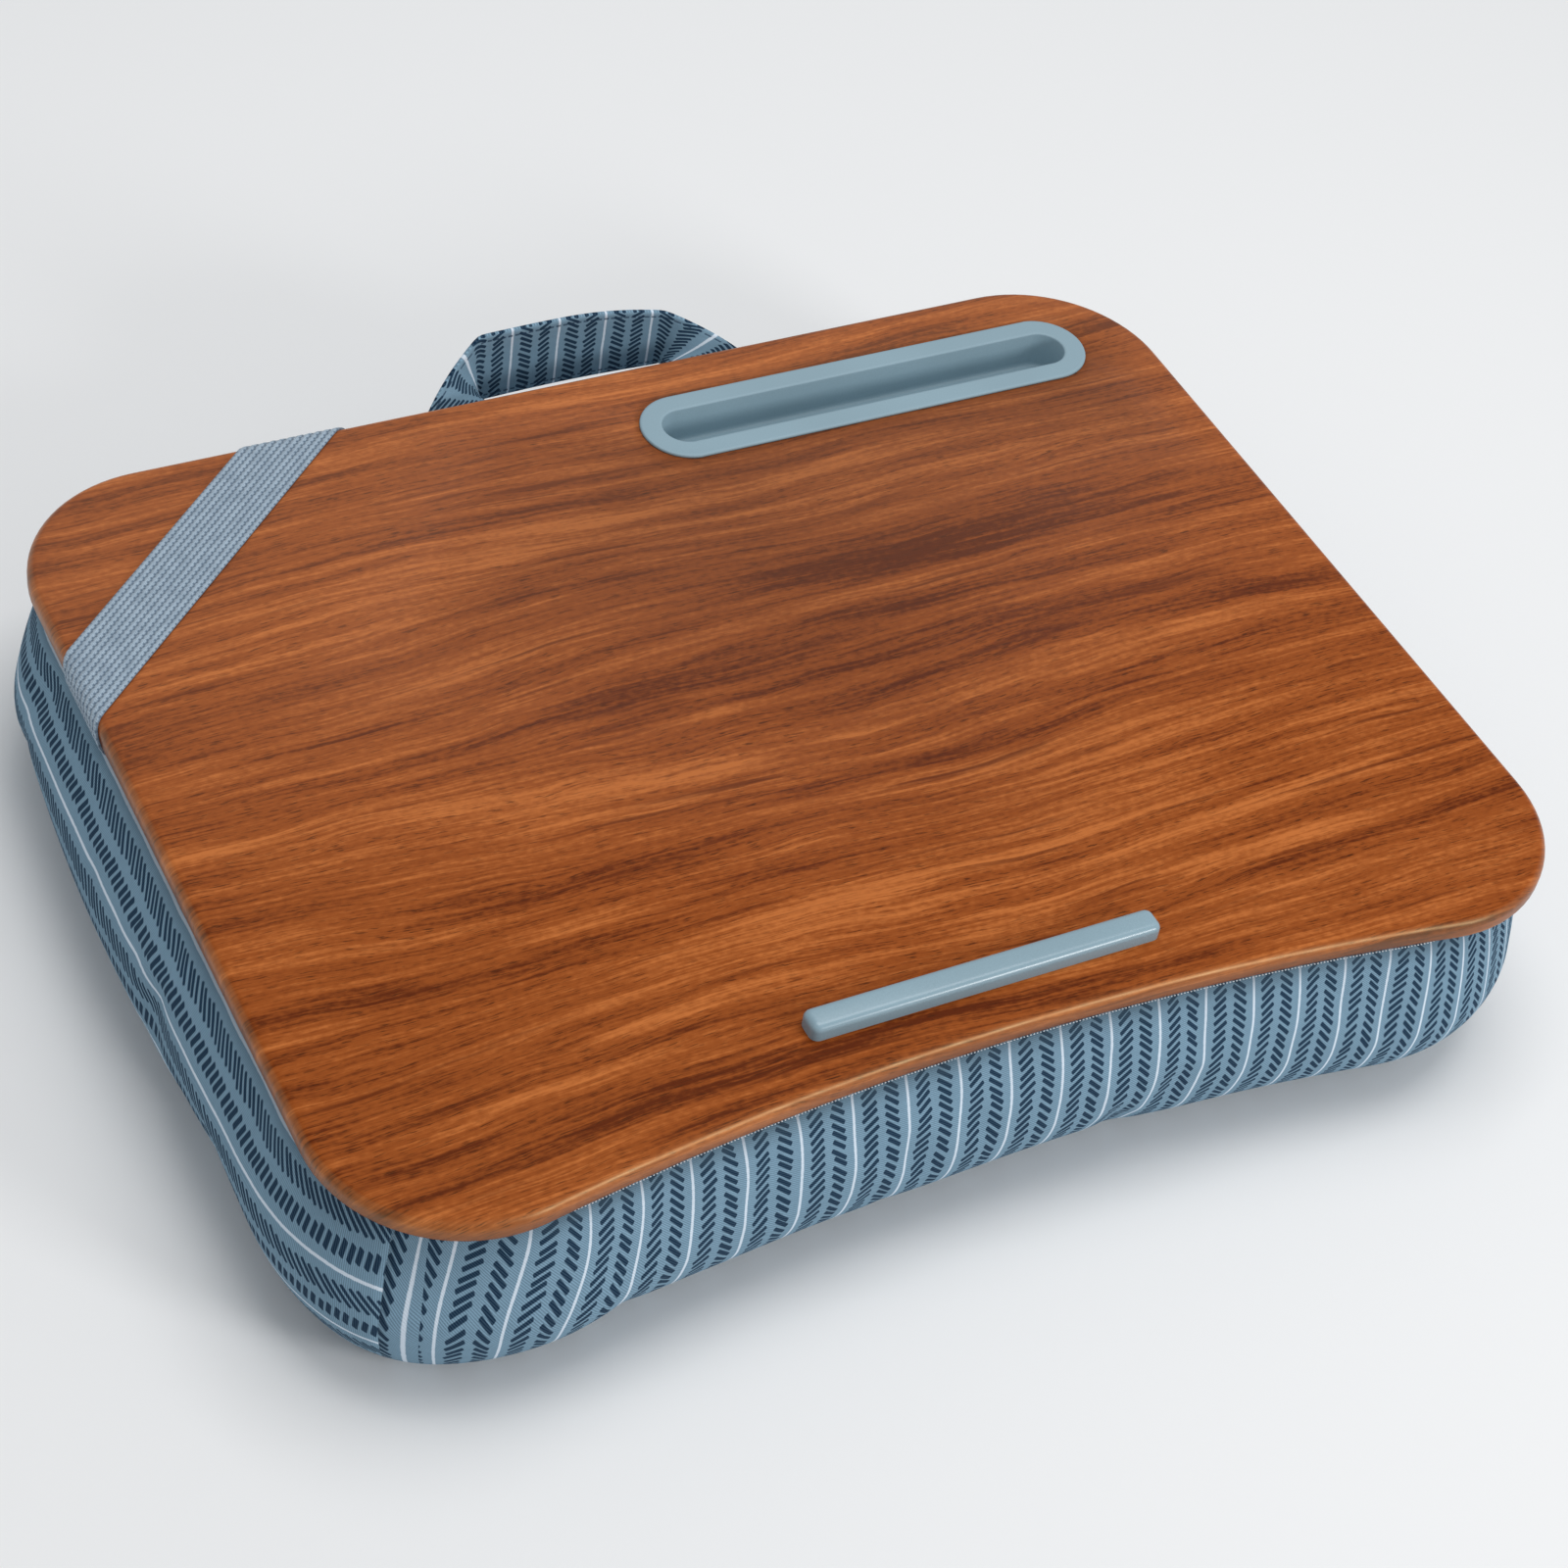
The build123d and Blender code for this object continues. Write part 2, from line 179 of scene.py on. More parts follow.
class HandleSettings(bpy.types.PropertyGroup):
    """The fabric carry handle."""
    centre: FloatProperty(
        name="Centre", description="Middle of the handle along the back edge",
        default=0.007, unit="LENGTH", precision=4)
    span: FloatProperty(
        name="Span", description="Length between its two folded corners",
        default=0.076, unit="LENGTH", precision=4)
    band: FloatProperty(
        name="Band", description="Width of the fabric band", default=0.031, unit="LENGTH", precision=4)
    thickness: FloatProperty(
        name="Thickness", description="Thickness of the folded fabric",
        default=0.0022, unit="LENGTH", precision=4)
    droop: FloatProperty(
        name="Droop", description="How far the span's upper edge sinks towards its right corner",
        default=0.005, unit="LENGTH", precision=4)
    splay: FloatProperty(
        name="Splay", description="How far the sewn ends stand in under the corners",
        default=0.002, unit="LENGTH", precision=4)


class CushionSettings(bpy.types.PropertyGroup):
    """The printed fabric cushion."""
    bulge: FloatProperty(
        name="Bulge", description="How far it stands out past the board",
        default=0.0105, unit="LENGTH", precision=4)
    rim_inset: FloatProperty(
        name="Rim inset", description="How far in under the board's edge the cover starts",
        default=0.0022, unit="LENGTH", precision=4)
    corner_slack: FloatProperty(
        name="Corner slack", description="Extra radius at its corners",
        default=0.014, unit="LENGTH", precision=4)
    waist: FloatProperty(
        name="Waist", description="Height at which it is widest",
        default=0.0365, unit="LENGTH", precision=4)
    under_run: FloatProperty(
        name="Under run", description="How far its underside curves in",
        default=0.038, unit="LENGTH", precision=4)
    seam: FloatProperty(
        name="Corner seam", description="Distance of the upright seams from the middle",
        default=0.2105, unit="LENGTH", precision=4)
    bottom_seam: FloatProperty(
        name="Lower seam", description="Height of the seam under each side panel",
        default=0.006, unit="LENGTH", precision=4)
    cloth: FloatProperty(
        name="Cloth", description="Thickness of the cover",
        default=0.0009, unit="LENGTH", precision=4)
    ground: FloatVectorProperty(
        name="Ground", description="The cloth's blue-grey ground",
        default=tint(122, 152, 172), subtype="COLOR", size=3, min=0, max=1)
    dash: FloatVectorProperty(
        name="Dash", description="Colour of the printed dashes",
        default=tint(15, 43, 67), subtype="COLOR", size=3, min=0, max=1)
    stripe: FloatVectorProperty(
        name="Stripe", description="Colour of the thin pale stripes",
        default=tint(216, 228, 240), subtype="COLOR", size=3, min=0, max=1)


class StageSettings(bpy.types.PropertyGroup):
    """The floor, the lights and the camera."""
    floor: FloatVectorProperty(
        name="Floor", description="Colour of the floor",
        default=(0.86, 0.86, 0.86), subtype="COLOR", size=3, min=0, max=1)
    sky: FloatProperty(
        name="Sky", description="Strength of the even light from all round", default=0.47, min=0)
    key: FloatProperty(
        name="Key", description="Power of the large light overhead", default=18.0, unit="POWER")
    fill: FloatProperty(
        name="Fill", description="Power of the light from the front right", default=14.0, unit="POWER")
    lens: FloatProperty(
        name="Lens", description="Focal length of the camera", default=78.43, min=10, unit="CAMERA")


SETTINGS = {
    "lap_desk_board": BoardSettings,
    "lap_desk_fittings": FittingSettings,
    "lap_desk_strap": StrapSettings,
    "lap_desk_handle": HandleSettings,
    "lap_desk_cushion": CushionSettings,
    "lap_desk_stage": StageSettings,
}


# ---- materials -----------------------------------------------------------------------------------

class Finish:
    """One material and short ways to add its nodes."""

    def __init__(self, name, roughness=0.5, sheen=0.0, metallic=0.0, specular=0.5, coat=0.0):
        self.material = bpy.data.materials.new(name)
        self.material.use_nodes = True
        self.tree = self.material.node_tree
        self.shader = self.tree.nodes["Principled BSDF"]
        self.shader.inputs["Roughness"].default_value = roughness
        self.shader.inputs["Sheen Weight"].default_value = sheen
        self.shader.inputs["Metallic"].default_value = metallic
        self.shader.inputs["Specular IOR Level"].default_value = specular
        self.shader.inputs["Coat Weight"].default_value = coat

    def node(self, kind, wires, **settings):
        """A new node with its settings, and each input given a value or an output of another."""
        made = self.tree.nodes.new("ShaderNode" + kind)
        for name, value in settings.items():
            setattr(made, name, value)
        for place, value in wires.items():
            if isinstance(value, bpy.types.NodeSocket):
                self.tree.links.new(value, made.inputs[place])
            else:
                made.inputs[place].default_value = value
        return made

    def feed(self, name, socket):
        self.tree.links.new(socket, self.shader.inputs[name])

    def sum(self, operation, first, second=0.0, third=0.0):
        """One step of arithmetic."""
        return self.node("Math", {0: first, 1: second, 2: third}, operation=operation).outputs[0]

    def uv(self, name):
        return self.node("UVMap", {}, uv_map=name).outputs[0]

    def place(self):
        return self.node("TexCoord", {}).outputs["Object"]

    def parts(self, vector):
        """The x, y and z of a vector."""
        return self.node("SeparateXYZ", {0: vector}).outputs

    def vector(self, x, y, z=0.0):
        return self.node("CombineXYZ", {0: x, 1: y, 2: z}).outputs[0]

    def stretched(self, vector, scale, shift=(0.0, 0.0, 0.0), turn=0.0):
        wires = {"Vector": vector, "Scale": scale, "Location": shift, "Rotation": (0.0, 0.0, turn)}
        return self.node("Mapping", wires).outputs[0]

    def noise(self, vector, scale=1.0, detail=2.0, roughness=0.5):
        wires = {"Vector": vector, "Scale": scale, "Detail": detail, "Roughness": roughness}
        return self.node("TexNoise", wires).outputs[0]

    def ramp(self, share, low, high, to_low=0.0, to_high=1.0):
        """A smooth step of a share from one value to another."""
        wires = {0: share, 1: low, 2: high, 3: to_low, 4: to_high}
        return self.node("MapRange", wires, interpolation_type="SMOOTHSTEP").outputs[0]

    def mix(self, share, first, second, blend="MIX"):
        """Two colours mixed or blended."""
        wires = {0: share}
        for place, value in ((6, first), (7, second)):
            wires[place] = value if isinstance(value, bpy.types.NodeSocket) else (*value, 1.0)
        made = self.node("Mix", wires, data_type="RGBA", blend_type=blend)
        return made.outputs[2]

    def bump(self, height, strength, distance, under=None):
        wires = {"Strength": strength, "Distance": distance, "Height": height}
        if under is not None:
            wires["Normal"] = under
        return self.node("Bump", wires).outputs[0]


def walnut_finish(board):
    """Walnut-look film: long wavy streaks, soft bands, short dark pores, ripples and a satin face, with painted
    shade darkening it down the board's edge and a painted sheen paling it towards the back.
    """
    kit = Finish("walnut_film", roughness=0.3)
    kit.shader.inputs["Specular Tint"].default_value = (1.0, 0.76, 0.4, 1.0)
    flat = kit.uv("film")
    x, y, _ = kit.parts(flat)
    slow = kit.noise(kit.stretched(flat, (3.0, 8.0, 1.0)), detail=1.0)
    quick = kit.noise(kit.stretched(flat, (14.0, 40.0, 1.0), (5.0, 2.0, 0.0)), detail=2.0)
    bent = kit.sum("ADD", kit.sum("MULTIPLY_ADD", slow, 0.04, y), kit.sum("MULTIPLY", quick, 0.007))
    grain = kit.vector(x, bent)
    bands = kit.noise(kit.stretched(grain, (2.6, 30.0, 1.0), (1.3, 5.4, 0.0)), detail=2.0)
    streaks = kit.noise(kit.stretched(grain, (6.0, 110.0, 1.0), (3.0, 7.0, 0.0)), detail=3.0, roughness=0.6)
    fine = kit.noise(kit.stretched(grain, (24.0, 760.0, 1.0), (8.0, 1.0, 0.0)), detail=3.0, roughness=0.65)
    ripple = kit.noise(kit.stretched(flat, (330.0, 520.0, 1.0), turn=0.35), detail=2.0)
    pores = kit.noise(kit.stretched(grain, (150.0, 1900.0, 1.0)), detail=2.0)
    lines = kit.noise(kit.stretched(grain, (9.0, 240.0, 1.0), (2.0, 9.0, 0.0)), detail=2.0)
    tone = kit.sum("MULTIPLY_ADD", bands, 0.24, kit.sum("MULTIPLY_ADD", streaks, 0.36, 0.03))
    tone = kit.sum("ADD", tone, kit.sum("MULTIPLY_ADD", fine, 0.24, kit.sum("MULTIPLY", ripple, 0.1)))
    colour = kit.mix(kit.ramp(tone, 0.4, 0.5), board.dark_grain_and_edge_shade, board.mid_grain)
    colour = kit.mix(kit.ramp(tone, 0.49, 0.6), colour, board.light_grain)
    colour = kit.mix(kit.ramp(lines, 0.4, 0.27, 0.0, 0.75), colour, board.dark_grain_and_edge_shade)
    fleck = kit.sum("MULTIPLY", kit.ramp(pores, 0.56, 0.68), kit.ramp(streaks, 0.62, 0.42, 0.3, 0.85))
    colour = kit.mix(fleck, colour, board.pore)
    # painted sheen: the film pales towards the back of the board
    painted_back_sheen = kit.ramp(y, -0.1, 0.17, 0.0, 0.13)
    colour = kit.mix(painted_back_sheen, colour, tint(200, 150, 120))
    height = kit.parts(kit.place())[2]
    # painted shade: below its upper rounding the film darkens towards the dark grain colour, down the board's edge
    painted_edge_shade = kit.ramp(height, BOARD_TOP - board.top_round * 0.6, BOARD_TOP - board.top_round * 1.7, 0.0, 0.5)
    kit.feed("Base Color", kit.mix(painted_edge_shade, colour, board.dark_grain_and_edge_shade))
    kit.feed("Roughness", kit.ramp(fine, 0.3, 0.75, 0.34, 0.46))
    kit.feed("Specular IOR Level", kit.ramp(height, BOARD_TOP - 0.0001, BOARD_TOP - 0.0008, 0.12, 1.0))
    kit.feed("Normal", kit.bump(fine, 0.12, 0.0002))
    return kit.material


def plastic_finish(fittings, name, roughness, grain):
    """Moulded blue-grey plastic with a fine spark-eroded grain."""
    kit = Finish(name, roughness=roughness, specular=0.5)
    place = kit.place()
    fine = kit.noise(place, scale=2600.0, detail=2.0)
    cloudy = kit.noise(place, scale=22.0, detail=2.0)
    colour = kit.mix(kit.ramp(cloudy, 0.3, 0.7), fittings.plastic,
                     [part * 0.93 for part in fittings.plastic])
    colour = kit.mix(kit.ramp(fine, 0.42, 0.6, 0.0, 0.3), colour, [part * 0.8 for part in fittings.plastic])
    kit.feed("Base Color", colour)
    kit.feed("Normal", kit.bump(fine, grain, 0.0001))
    return kit.material


def elastic_finish(strap):
    """Ribbed elastic: pale braided ribs and small crossing dots, with painted shade darkening the gaps between the
    ribs.
    """
    kit = Finish("ribbed_elastic", roughness=0.75, sheen=0.25, specular=0.3)
    across, along, _ = kit.parts(kit.uv("weave"))
    in_rib = kit.sum("ABSOLUTE", kit.sum("SUBTRACT", kit.sum("FRACT", across), 0.5))
    rib_number = kit.sum("FLOOR", across)
    side = kit.sum("MULTIPLY", kit.sum("MODULO", rib_number, 2.0), 0.5)
    knot = kit.sum("ABSOLUTE", kit.sum("SUBTRACT", kit.sum("FRACT", kit.sum("ADD", along, side)), 0.5))
    gap = kit.ramp(in_rib, 0.3, 0.47)
    dots = kit.sum("MULTIPLY", kit.ramp(knot, 0.3, 0.12), kit.ramp(in_rib, 0.1, 0.34))
    lean = kit.sum("ADD", kit.sum("MULTIPLY", along, 3.0), kit.sum("MULTIPLY", in_rib, 2.4))
    thread = kit.sum("ABSOLUTE", kit.sum("SUBTRACT", kit.sum("FRACT", lean), 0.5))
    patchy = kit.noise(kit.stretched(kit.uv("weave"), (0.5, 0.3, 1.0)), detail=3.0)
    # painted shade: the gaps between the ribs take the dark gap colour as the grooves' shade; the crossing dots
    # and leaning threads are the weave's own marks
    shade = kit.sum("MAXIMUM", kit.sum("MULTIPLY", gap, 0.75), kit.sum("MULTIPLY", dots, 0.95))
    shade = kit.sum("MAXIMUM", shade, kit.ramp(thread, 0.3, 0.12, 0.0, 0.3))
    colour = kit.mix(shade, strap.cord, strap.gap)
    colour = kit.mix(kit.ramp(patchy, 0.35, 0.7, 0.0, 0.25), colour, strap.gap)
    kit.feed("Base Color", colour)
    height = kit.sum("SUBTRACT", kit.sum("MULTIPLY", kit.sum("SUBTRACT", 0.5, in_rib), 1.0), shade)
    kit.feed("Normal", kit.bump(kit.sum("ADD", height, kit.sum("MULTIPLY", thread, 0.5)), 0.6, 0.0004))
    return kit.material


DASH_PITCH = 0.131          # of one stripe's spacing, as are the sizes below
STRIPE_HALF = 0.024
DASH_COLUMNS = (            # middle, half width, half thickness, slope
    (0.297, 0.147, 0.0345, 0.62),
    (0.7, 0.142, 0.0345, -0.72),
)
TWILL_PER_STRIPE = 36.0


def print_dashes(kit, across, along, column):
    """How much of a column of slanting round-ended dashes covers a point."""
    middle, half, half_thick, slope = column
    tilt = math.atan(slope)
    rounding = half_thick * 0.6
    reach = (half - half_thick * abs(math.sin(tilt))) / math.cos(tilt) - rounding
    stripe_number = kit.sum("FLOOR", across)
    aside = kit.sum("SUBTRACT", kit.sum("FRACT", across), middle)
    skewed = kit.sum("MULTIPLY_ADD", aside, -slope, along)
    row = kit.sum("ROUND", kit.sum("DIVIDE", skewed, DASH_PITCH))
    seed = kit.vector(row, stripe_number, middle)
    chance = kit.parts(kit.node("TexWhiteNoise", {0: seed}, noise_dimensions="3D").outputs["Color"])
    past = kit.sum("MULTIPLY_ADD", row, -DASH_PITCH, along)
    past = kit.sum("ADD", past, kit.sum("MULTIPLY_ADD", chance[0], 0.024, -0.012))
    aside = kit.sum("ADD", aside, kit.sum("MULTIPLY_ADD", chance[1], 0.03, -0.015))
    lengthwise = kit.sum("ADD", kit.sum("MULTIPLY", aside, math.cos(tilt)),
                         kit.sum("MULTIPLY", past, math.sin(tilt)))
    sideways = kit.sum("SUBTRACT", kit.sum("MULTIPLY", past, math.cos(tilt)),
                       kit.sum("MULTIPLY", aside, math.sin(tilt)))
    limit = kit.sum("MULTIPLY_ADD", chance[2], 0.03, reach - 0.015)
    over = kit.sum("MAXIMUM", kit.sum("SUBTRACT", kit.sum("ABSOLUTE", lengthwise), limit), 0.0)
    beside = kit.sum("SUBTRACT", kit.sum("ABSOLUTE", sideways), half_thick - rounding)
    gap = kit.node("VectorMath", {0: kit.vector(over, kit.sum("MAXIMUM", beside, 0.0))},
                   operation="LENGTH").outputs["Value"]
    return kit.ramp(gap, rounding + 0.007, rounding - 0.007)


def printed_cloth(cushion, name, stitched=False):
    """Blue-grey twill printed with thin pale stripes and two leaning columns of navy dashes; on the cover, painted
    shade darkens it near its rim under the board.
    """
    kit = Finish(name, roughness=0.85, specular=0.1)
    cloth = kit.uv("cloth")
    across, along, _ = kit.parts(cloth)
    wander = kit.noise(kit.stretched(cloth, (1.3, 1.1, 1.0)), detail=1.0)
    wavy = kit.sum("ADD", across, kit.sum("MULTIPLY_ADD", wander, 0.05, -0.025))
    twill = kit.sum("SINE", kit.sum("MULTIPLY", kit.sum("MULTIPLY_ADD", across, 0.55, along),
                                    TWILL_PER_STRIPE * 2 * math.pi / 1.14))
    cross = kit.sum("SINE", kit.sum("MULTIPLY", along, TWILL_PER_STRIPE * 4 * math.pi))
    weave = kit.sum("MULTIPLY_ADD", cross, 0.35, twill)
    mottle = kit.noise(kit.stretched(cloth, (9.0, 9.0, 1.0)), detail=3.0)
    ground = kit.mix(kit.ramp(weave, -1.1, 1.1), [part * 0.74 for part in cushion.ground],
                     [min(1.0, part * 1.26) for part in cushion.ground])
    ground = kit.mix(kit.ramp(mottle, 0.35, 0.7, 0.0, 0.18), ground, [part * 0.75 for part in cushion.ground])
    middle = kit.sum("SUBTRACT", kit.sum("FRACT", kit.sum("ADD", wavy, 0.5)), 0.5)
    edge = kit.sum("MULTIPLY_ADD", kit.noise(kit.stretched(cloth, (0.0, 14.0, 1.0))), 0.016, STRIPE_HALF - 0.008)
    stripe = kit.ramp(kit.sum("SUBTRACT", kit.sum("ABSOLUTE", middle), edge), 0.008, -0.008)
    dashes = [print_dashes(kit, wavy, along, column) for column in DASH_COLUMNS]
    printed = kit.sum("MAXIMUM", *dashes)
    thin_ink = kit.ramp(weave, -1.0, 1.2, 1.0, 0.86)
    colour = kit.mix(kit.sum("MULTIPLY", stripe, 0.94), ground, cushion.stripe)
    colour = kit.mix(kit.sum("MULTIPLY", printed, thin_ink), colour, cushion.dash)
    if not stitched:
        # painted shade: the cover darkens towards its rim, where it runs in under the board's edge; the handle's
        # cloth gets none
        painted_rim_shade = kit.ramp(kit.parts(kit.place())[2], BOARD_BOTTOM - 0.008, BOARD_BOTTOM, 0.0, 0.5)
        colour = kit.mix(painted_rim_shade, colour, [part * 0.35 for part in cushion.ground])
    height = kit.sum("MULTIPLY_ADD", printed, -0.3, weave)
    if stitched:
        colour, height = add_stitch_rows(kit, colour, height)
    kit.feed("Base Color", colour)
    kit.feed("Normal", kit.bump(height, 0.35, 0.00012))
    return kit.material


HANDLE_STITCH_INSET = 0.09      # of the band's width
STITCH_LENGTH = 0.0028


def add_stitch_rows(kit, colour, height):
    """A row of small stitches along each edge of the handle's band."""
    along, across, _ = kit.parts(kit.uv("band"))
    from_edge = kit.sum("SUBTRACT", 0.5, kit.sum("ABSOLUTE", kit.sum("SUBTRACT", across, 0.5)))
    off_row = kit.sum("ABSOLUTE", kit.sum("SUBTRACT", from_edge, HANDLE_STITCH_INSET))
    beat = kit.sum("ABSOLUTE", kit.sum("SUBTRACT", kit.sum("FRACT", kit.sum("DIVIDE", along, STITCH_LENGTH)), 0.5))
    stitch = kit.sum("MULTIPLY", kit.ramp(off_row, 0.018, 0.009), kit.ramp(beat, 0.12, 0.2))
    furrow = kit.ramp(off_row, 0.05, 0.0)
    colour = kit.mix(kit.sum("MULTIPLY", stitch, 0.75), colour, tint(40, 62, 86))
    return colour, kit.sum("MULTIPLY_ADD", furrow, -5.0, height)


def plain_cloth(name, colour, scale):
    """A plain woven lining or binding."""
    kit = Finish(name, roughness=0.9, sheen=0.1, specular=0.2)
    x, y, z = kit.parts(kit.stretched(kit.place(), (scale, scale, scale)))
    weave = kit.sum("MULTIPLY", kit.sum("SINE", kit.sum("ADD", x, z)), kit.sum("SINE", kit.sum("ADD", y, z)))
    kit.feed("Base Color", kit.mix(kit.ramp(weave, -0.6, 0.6), [part * 0.75 for part in colour], colour))
    kit.feed("Normal", kit.bump(weave, 0.4, 0.0002))
    return kit.material


def fibreboard_finish():
    """Pressed wood fibre, pale brown with short chips."""
    kit = Finish("pressed_fibreboard", roughness=0.85, specular=0.25)
    chips = kit.noise(kit.stretched(kit.place(), (420.0, 420.0, 1600.0)), detail=4.0, roughness=0.7)
    colour = kit.mix(kit.ramp(chips, 0.3, 0.7), tint(120, 92, 64), tint(176, 146, 108))
    kit.feed("Base Color", colour)
    kit.feed("Normal", kit.bump(chips, 0.5, 0.0003))
    return kit.material


def steel_finish():
    """Zinc-plated steel wire."""
    kit = Finish("plated_steel", roughness=0.34, metallic=1.0)
    drawn = kit.noise(kit.stretched(kit.place(), (900.0, 900.0, 3000.0)), detail=3.0)
    kit.feed("Base Color", kit.mix(kit.ramp(drawn, 0.3, 0.7), tint(150, 152, 156), tint(196, 198, 200)))
    kit.feed("Roughness", kit.ramp(drawn, 0.3, 0.7, 0.26, 0.44))
    return kit.material


def thread_finish():
    """Pale polyester sewing thread."""
    kit = Finish("pale_thread", roughness=0.6, sheen=0.2)
    twist = kit.noise(kit.place(), scale=3000.0, detail=1.0)
    kit.feed("Base Color", kit.mix(kit.ramp(twist, 0.35, 0.65), tint(196, 208, 218), tint(232, 238, 242)))
    return kit.material


# ---- modelling helpers --------------------------------------------------------------------------

FRONT_STEPS = 72
CORNER_STEPS = 20
SIDE_STEPS = 44
BACK_STEPS = 64


def arc(centre, radius, start, sweep, steps):
    """Evenly spaced points along an arc, without its last one."""
    turns = [start + sweep * step / steps for step in range(steps)]
    return [Vector((centre[0] + radius * math.cos(a), centre[1] + radius * math.sin(a))) for a in turns]


def straight(start, end, steps):
    """Evenly spaced points along a straight line, without its last one."""
    return [Vector(start).lerp(Vector(end), step / steps) for step in range(steps)]


def plan_ring(board, grow=0.0, slack=0.0):
    """Points round the board's plan shape, grown on all sides; slack widens the corners' curves.
    It starts at the left end of the front edge and goes to the right."""
    hollow_y = (-HALF_DEPTH + board.front_corner
                - math.sqrt((board.front_hollow + board.front_corner) ** 2
                            - (HALF_WIDTH - board.front_corner) ** 2))
    side = HALF_WIDTH + grow
    back = HALF_DEPTH + grow
    r_back = board.back_corner + grow + slack
    r_front = board.front_corner + grow + slack
    r_hollow = board.front_hollow - grow
    y_front = hollow_y + math.sqrt((r_hollow + r_front) ** 2 - (side - r_front) ** 2)
    y_back = back - r_back
    lean = math.atan2(y_front - hollow_y, side - r_front)
    wrap = math.pi - lean
    points = arc((0.0, hollow_y), r_hollow, wrap, lean - wrap, FRONT_STEPS)
    points += arc((side - r_front, y_front), r_front, -wrap, wrap, CORNER_STEPS)
    points += straight((side, y_front), (side, y_back), SIDE_STEPS)
    points += arc((side - r_back, y_back), r_back, 0.0, QUARTER, CORNER_STEPS)
    points += straight((side - r_back, back), (r_back - side, back), BACK_STEPS)
    points += arc((r_back - side, y_back), r_back, QUARTER, QUARTER, CORNER_STEPS)
    points += straight((-side, y_back), (-side, y_front), SIDE_STEPS)
    points += arc((r_front - side, y_front), r_front, math.pi, wrap, CORNER_STEPS)
    return points


def outward(board, slack=0.0):
    """The outward direction at each point of a plan ring."""
    step = 0.001
    pairs = zip(plan_ring(board, 0.0, slack), plan_ring(board, step, slack))
    return [(outer - inner) / step for inner, outer in pairs]


def loft(bm, rings):
    """A tube of loops. The first is drawn and each next one is extruded from the last.
    Every vertex keeps its place along the loop and the number of its loop."""
    station = bm.verts.layers.int.new("station")
    level = bm.verts.layers.int.new("level")
    verts = bmesh.ops.create_circle(bm, segments=len(rings[0]), radius=1.0)["verts"]
    for index, vert in enumerate(verts):
        vert[station] = index
    edges = list(bm.edges)
    for number, ring in enumerate(rings):
        if number:
            grown = bmesh.ops.extrude_edge_only(bm, edges=edges)["geom"]
            verts = [item for item in grown if isinstance(item, bmesh.types.BMVert)]
            new = set(verts)
            edges = [item for item in grown
                     if isinstance(item, bmesh.types.BMEdge) and set(item.verts) <= new]
        for vert in verts:
            vert.co = ring[vert[station]]
            vert[level] = number
    return station, level


def loop_edges(bm, level, number):
    """The edges of one loop of a loft."""
    return [edge for edge in bm.edges if all(vert[level] == number for vert in edge.verts)]


def stadium(centre, half_length, radius, height, steps=24):
    """A loop of points round a round-ended slot, seen from above."""
    points = arc((centre.x + half_length, centre.y), radius, -QUARTER, math.pi, steps)
    points += arc((centre.x - half_length, centre.y), radius, QUARTER, math.pi, steps)
    return [Vector((p.x, p.y, height)) for p in points]


def draw_loop(bm, points):
    """A closed loop of edges through the points."""
    made = bmesh.ops.create_circle(bm, segments=len(points), radius=1.0)["verts"]
    for vert, point in zip(made, points):
        vert.co = point
    return list({edge for vert in made for edge in vert.link_edges})


def finished(bm, name, material, smooth_angle=None):
    """The mesh as an object with its material and shading."""
    mesh = bpy.data.meshes.new(name)
    bm.to_mesh(mesh)
    bm.free()
    piece = bpy.data.objects.new(name, mesh)
    bpy.context.scene.collection.objects.link(piece)
    mesh.materials.append(material)
    mesh.polygons.foreach_set("use_smooth", [True] * len(mesh.polygons))
    if smooth_angle is not None:
        mesh.set_sharp_from_angle(angle=smooth_angle)
    return piece


def subdivide(piece, levels):
    """Catmull-Clark smoothing."""
    smooth = piece.modifiers.new("smooth", "SUBSURF")
    smooth.levels = levels
    smooth.render_levels = levels
    return smooth


def thicken(piece, thickness, offset=-1.0):
    """Gives a sheet its thickness."""
    shell = piece.modifiers.new("thickness", "SOLIDIFY")
    shell.thickness = thickness
    shell.offset = offset
    return shell


def hand_over(piece, slot, *nodes, body="desk"):
    """Puts a finished piece on its body, in place of its CAD nodes where it has any."""
    if body:
        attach(piece, body)
    if nodes:
        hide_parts(*nodes)
    return piece


# ---- board -----------------------------------------------------------------------------------------

ROUND_STEPS = 8


def edge_profile(board):
    """The board's edge from its lap underneath to its flat top, as (outset, height)."""
    profile = [(-board.lap, BOARD_BOTTOM)]
    for step in range(ROUND_STEPS + 1):
        turn = QUARTER * step / ROUND_STEPS
        profile.append((board.bottom_round * (math.sin(turn) - 1),
                        BOARD_BOTTOM + board.bottom_round * (1 - math.cos(turn))))
    for step in range(ROUND_STEPS + 1):
        turn = QUARTER * step / ROUND_STEPS
        profile.append((board.top_round * (math.cos(turn) - 1),
                        BOARD_TOP + board.top_round * (math.sin(turn) - 1)))
    profile.append((-2 * board.top_round, BOARD_TOP))
    return profile


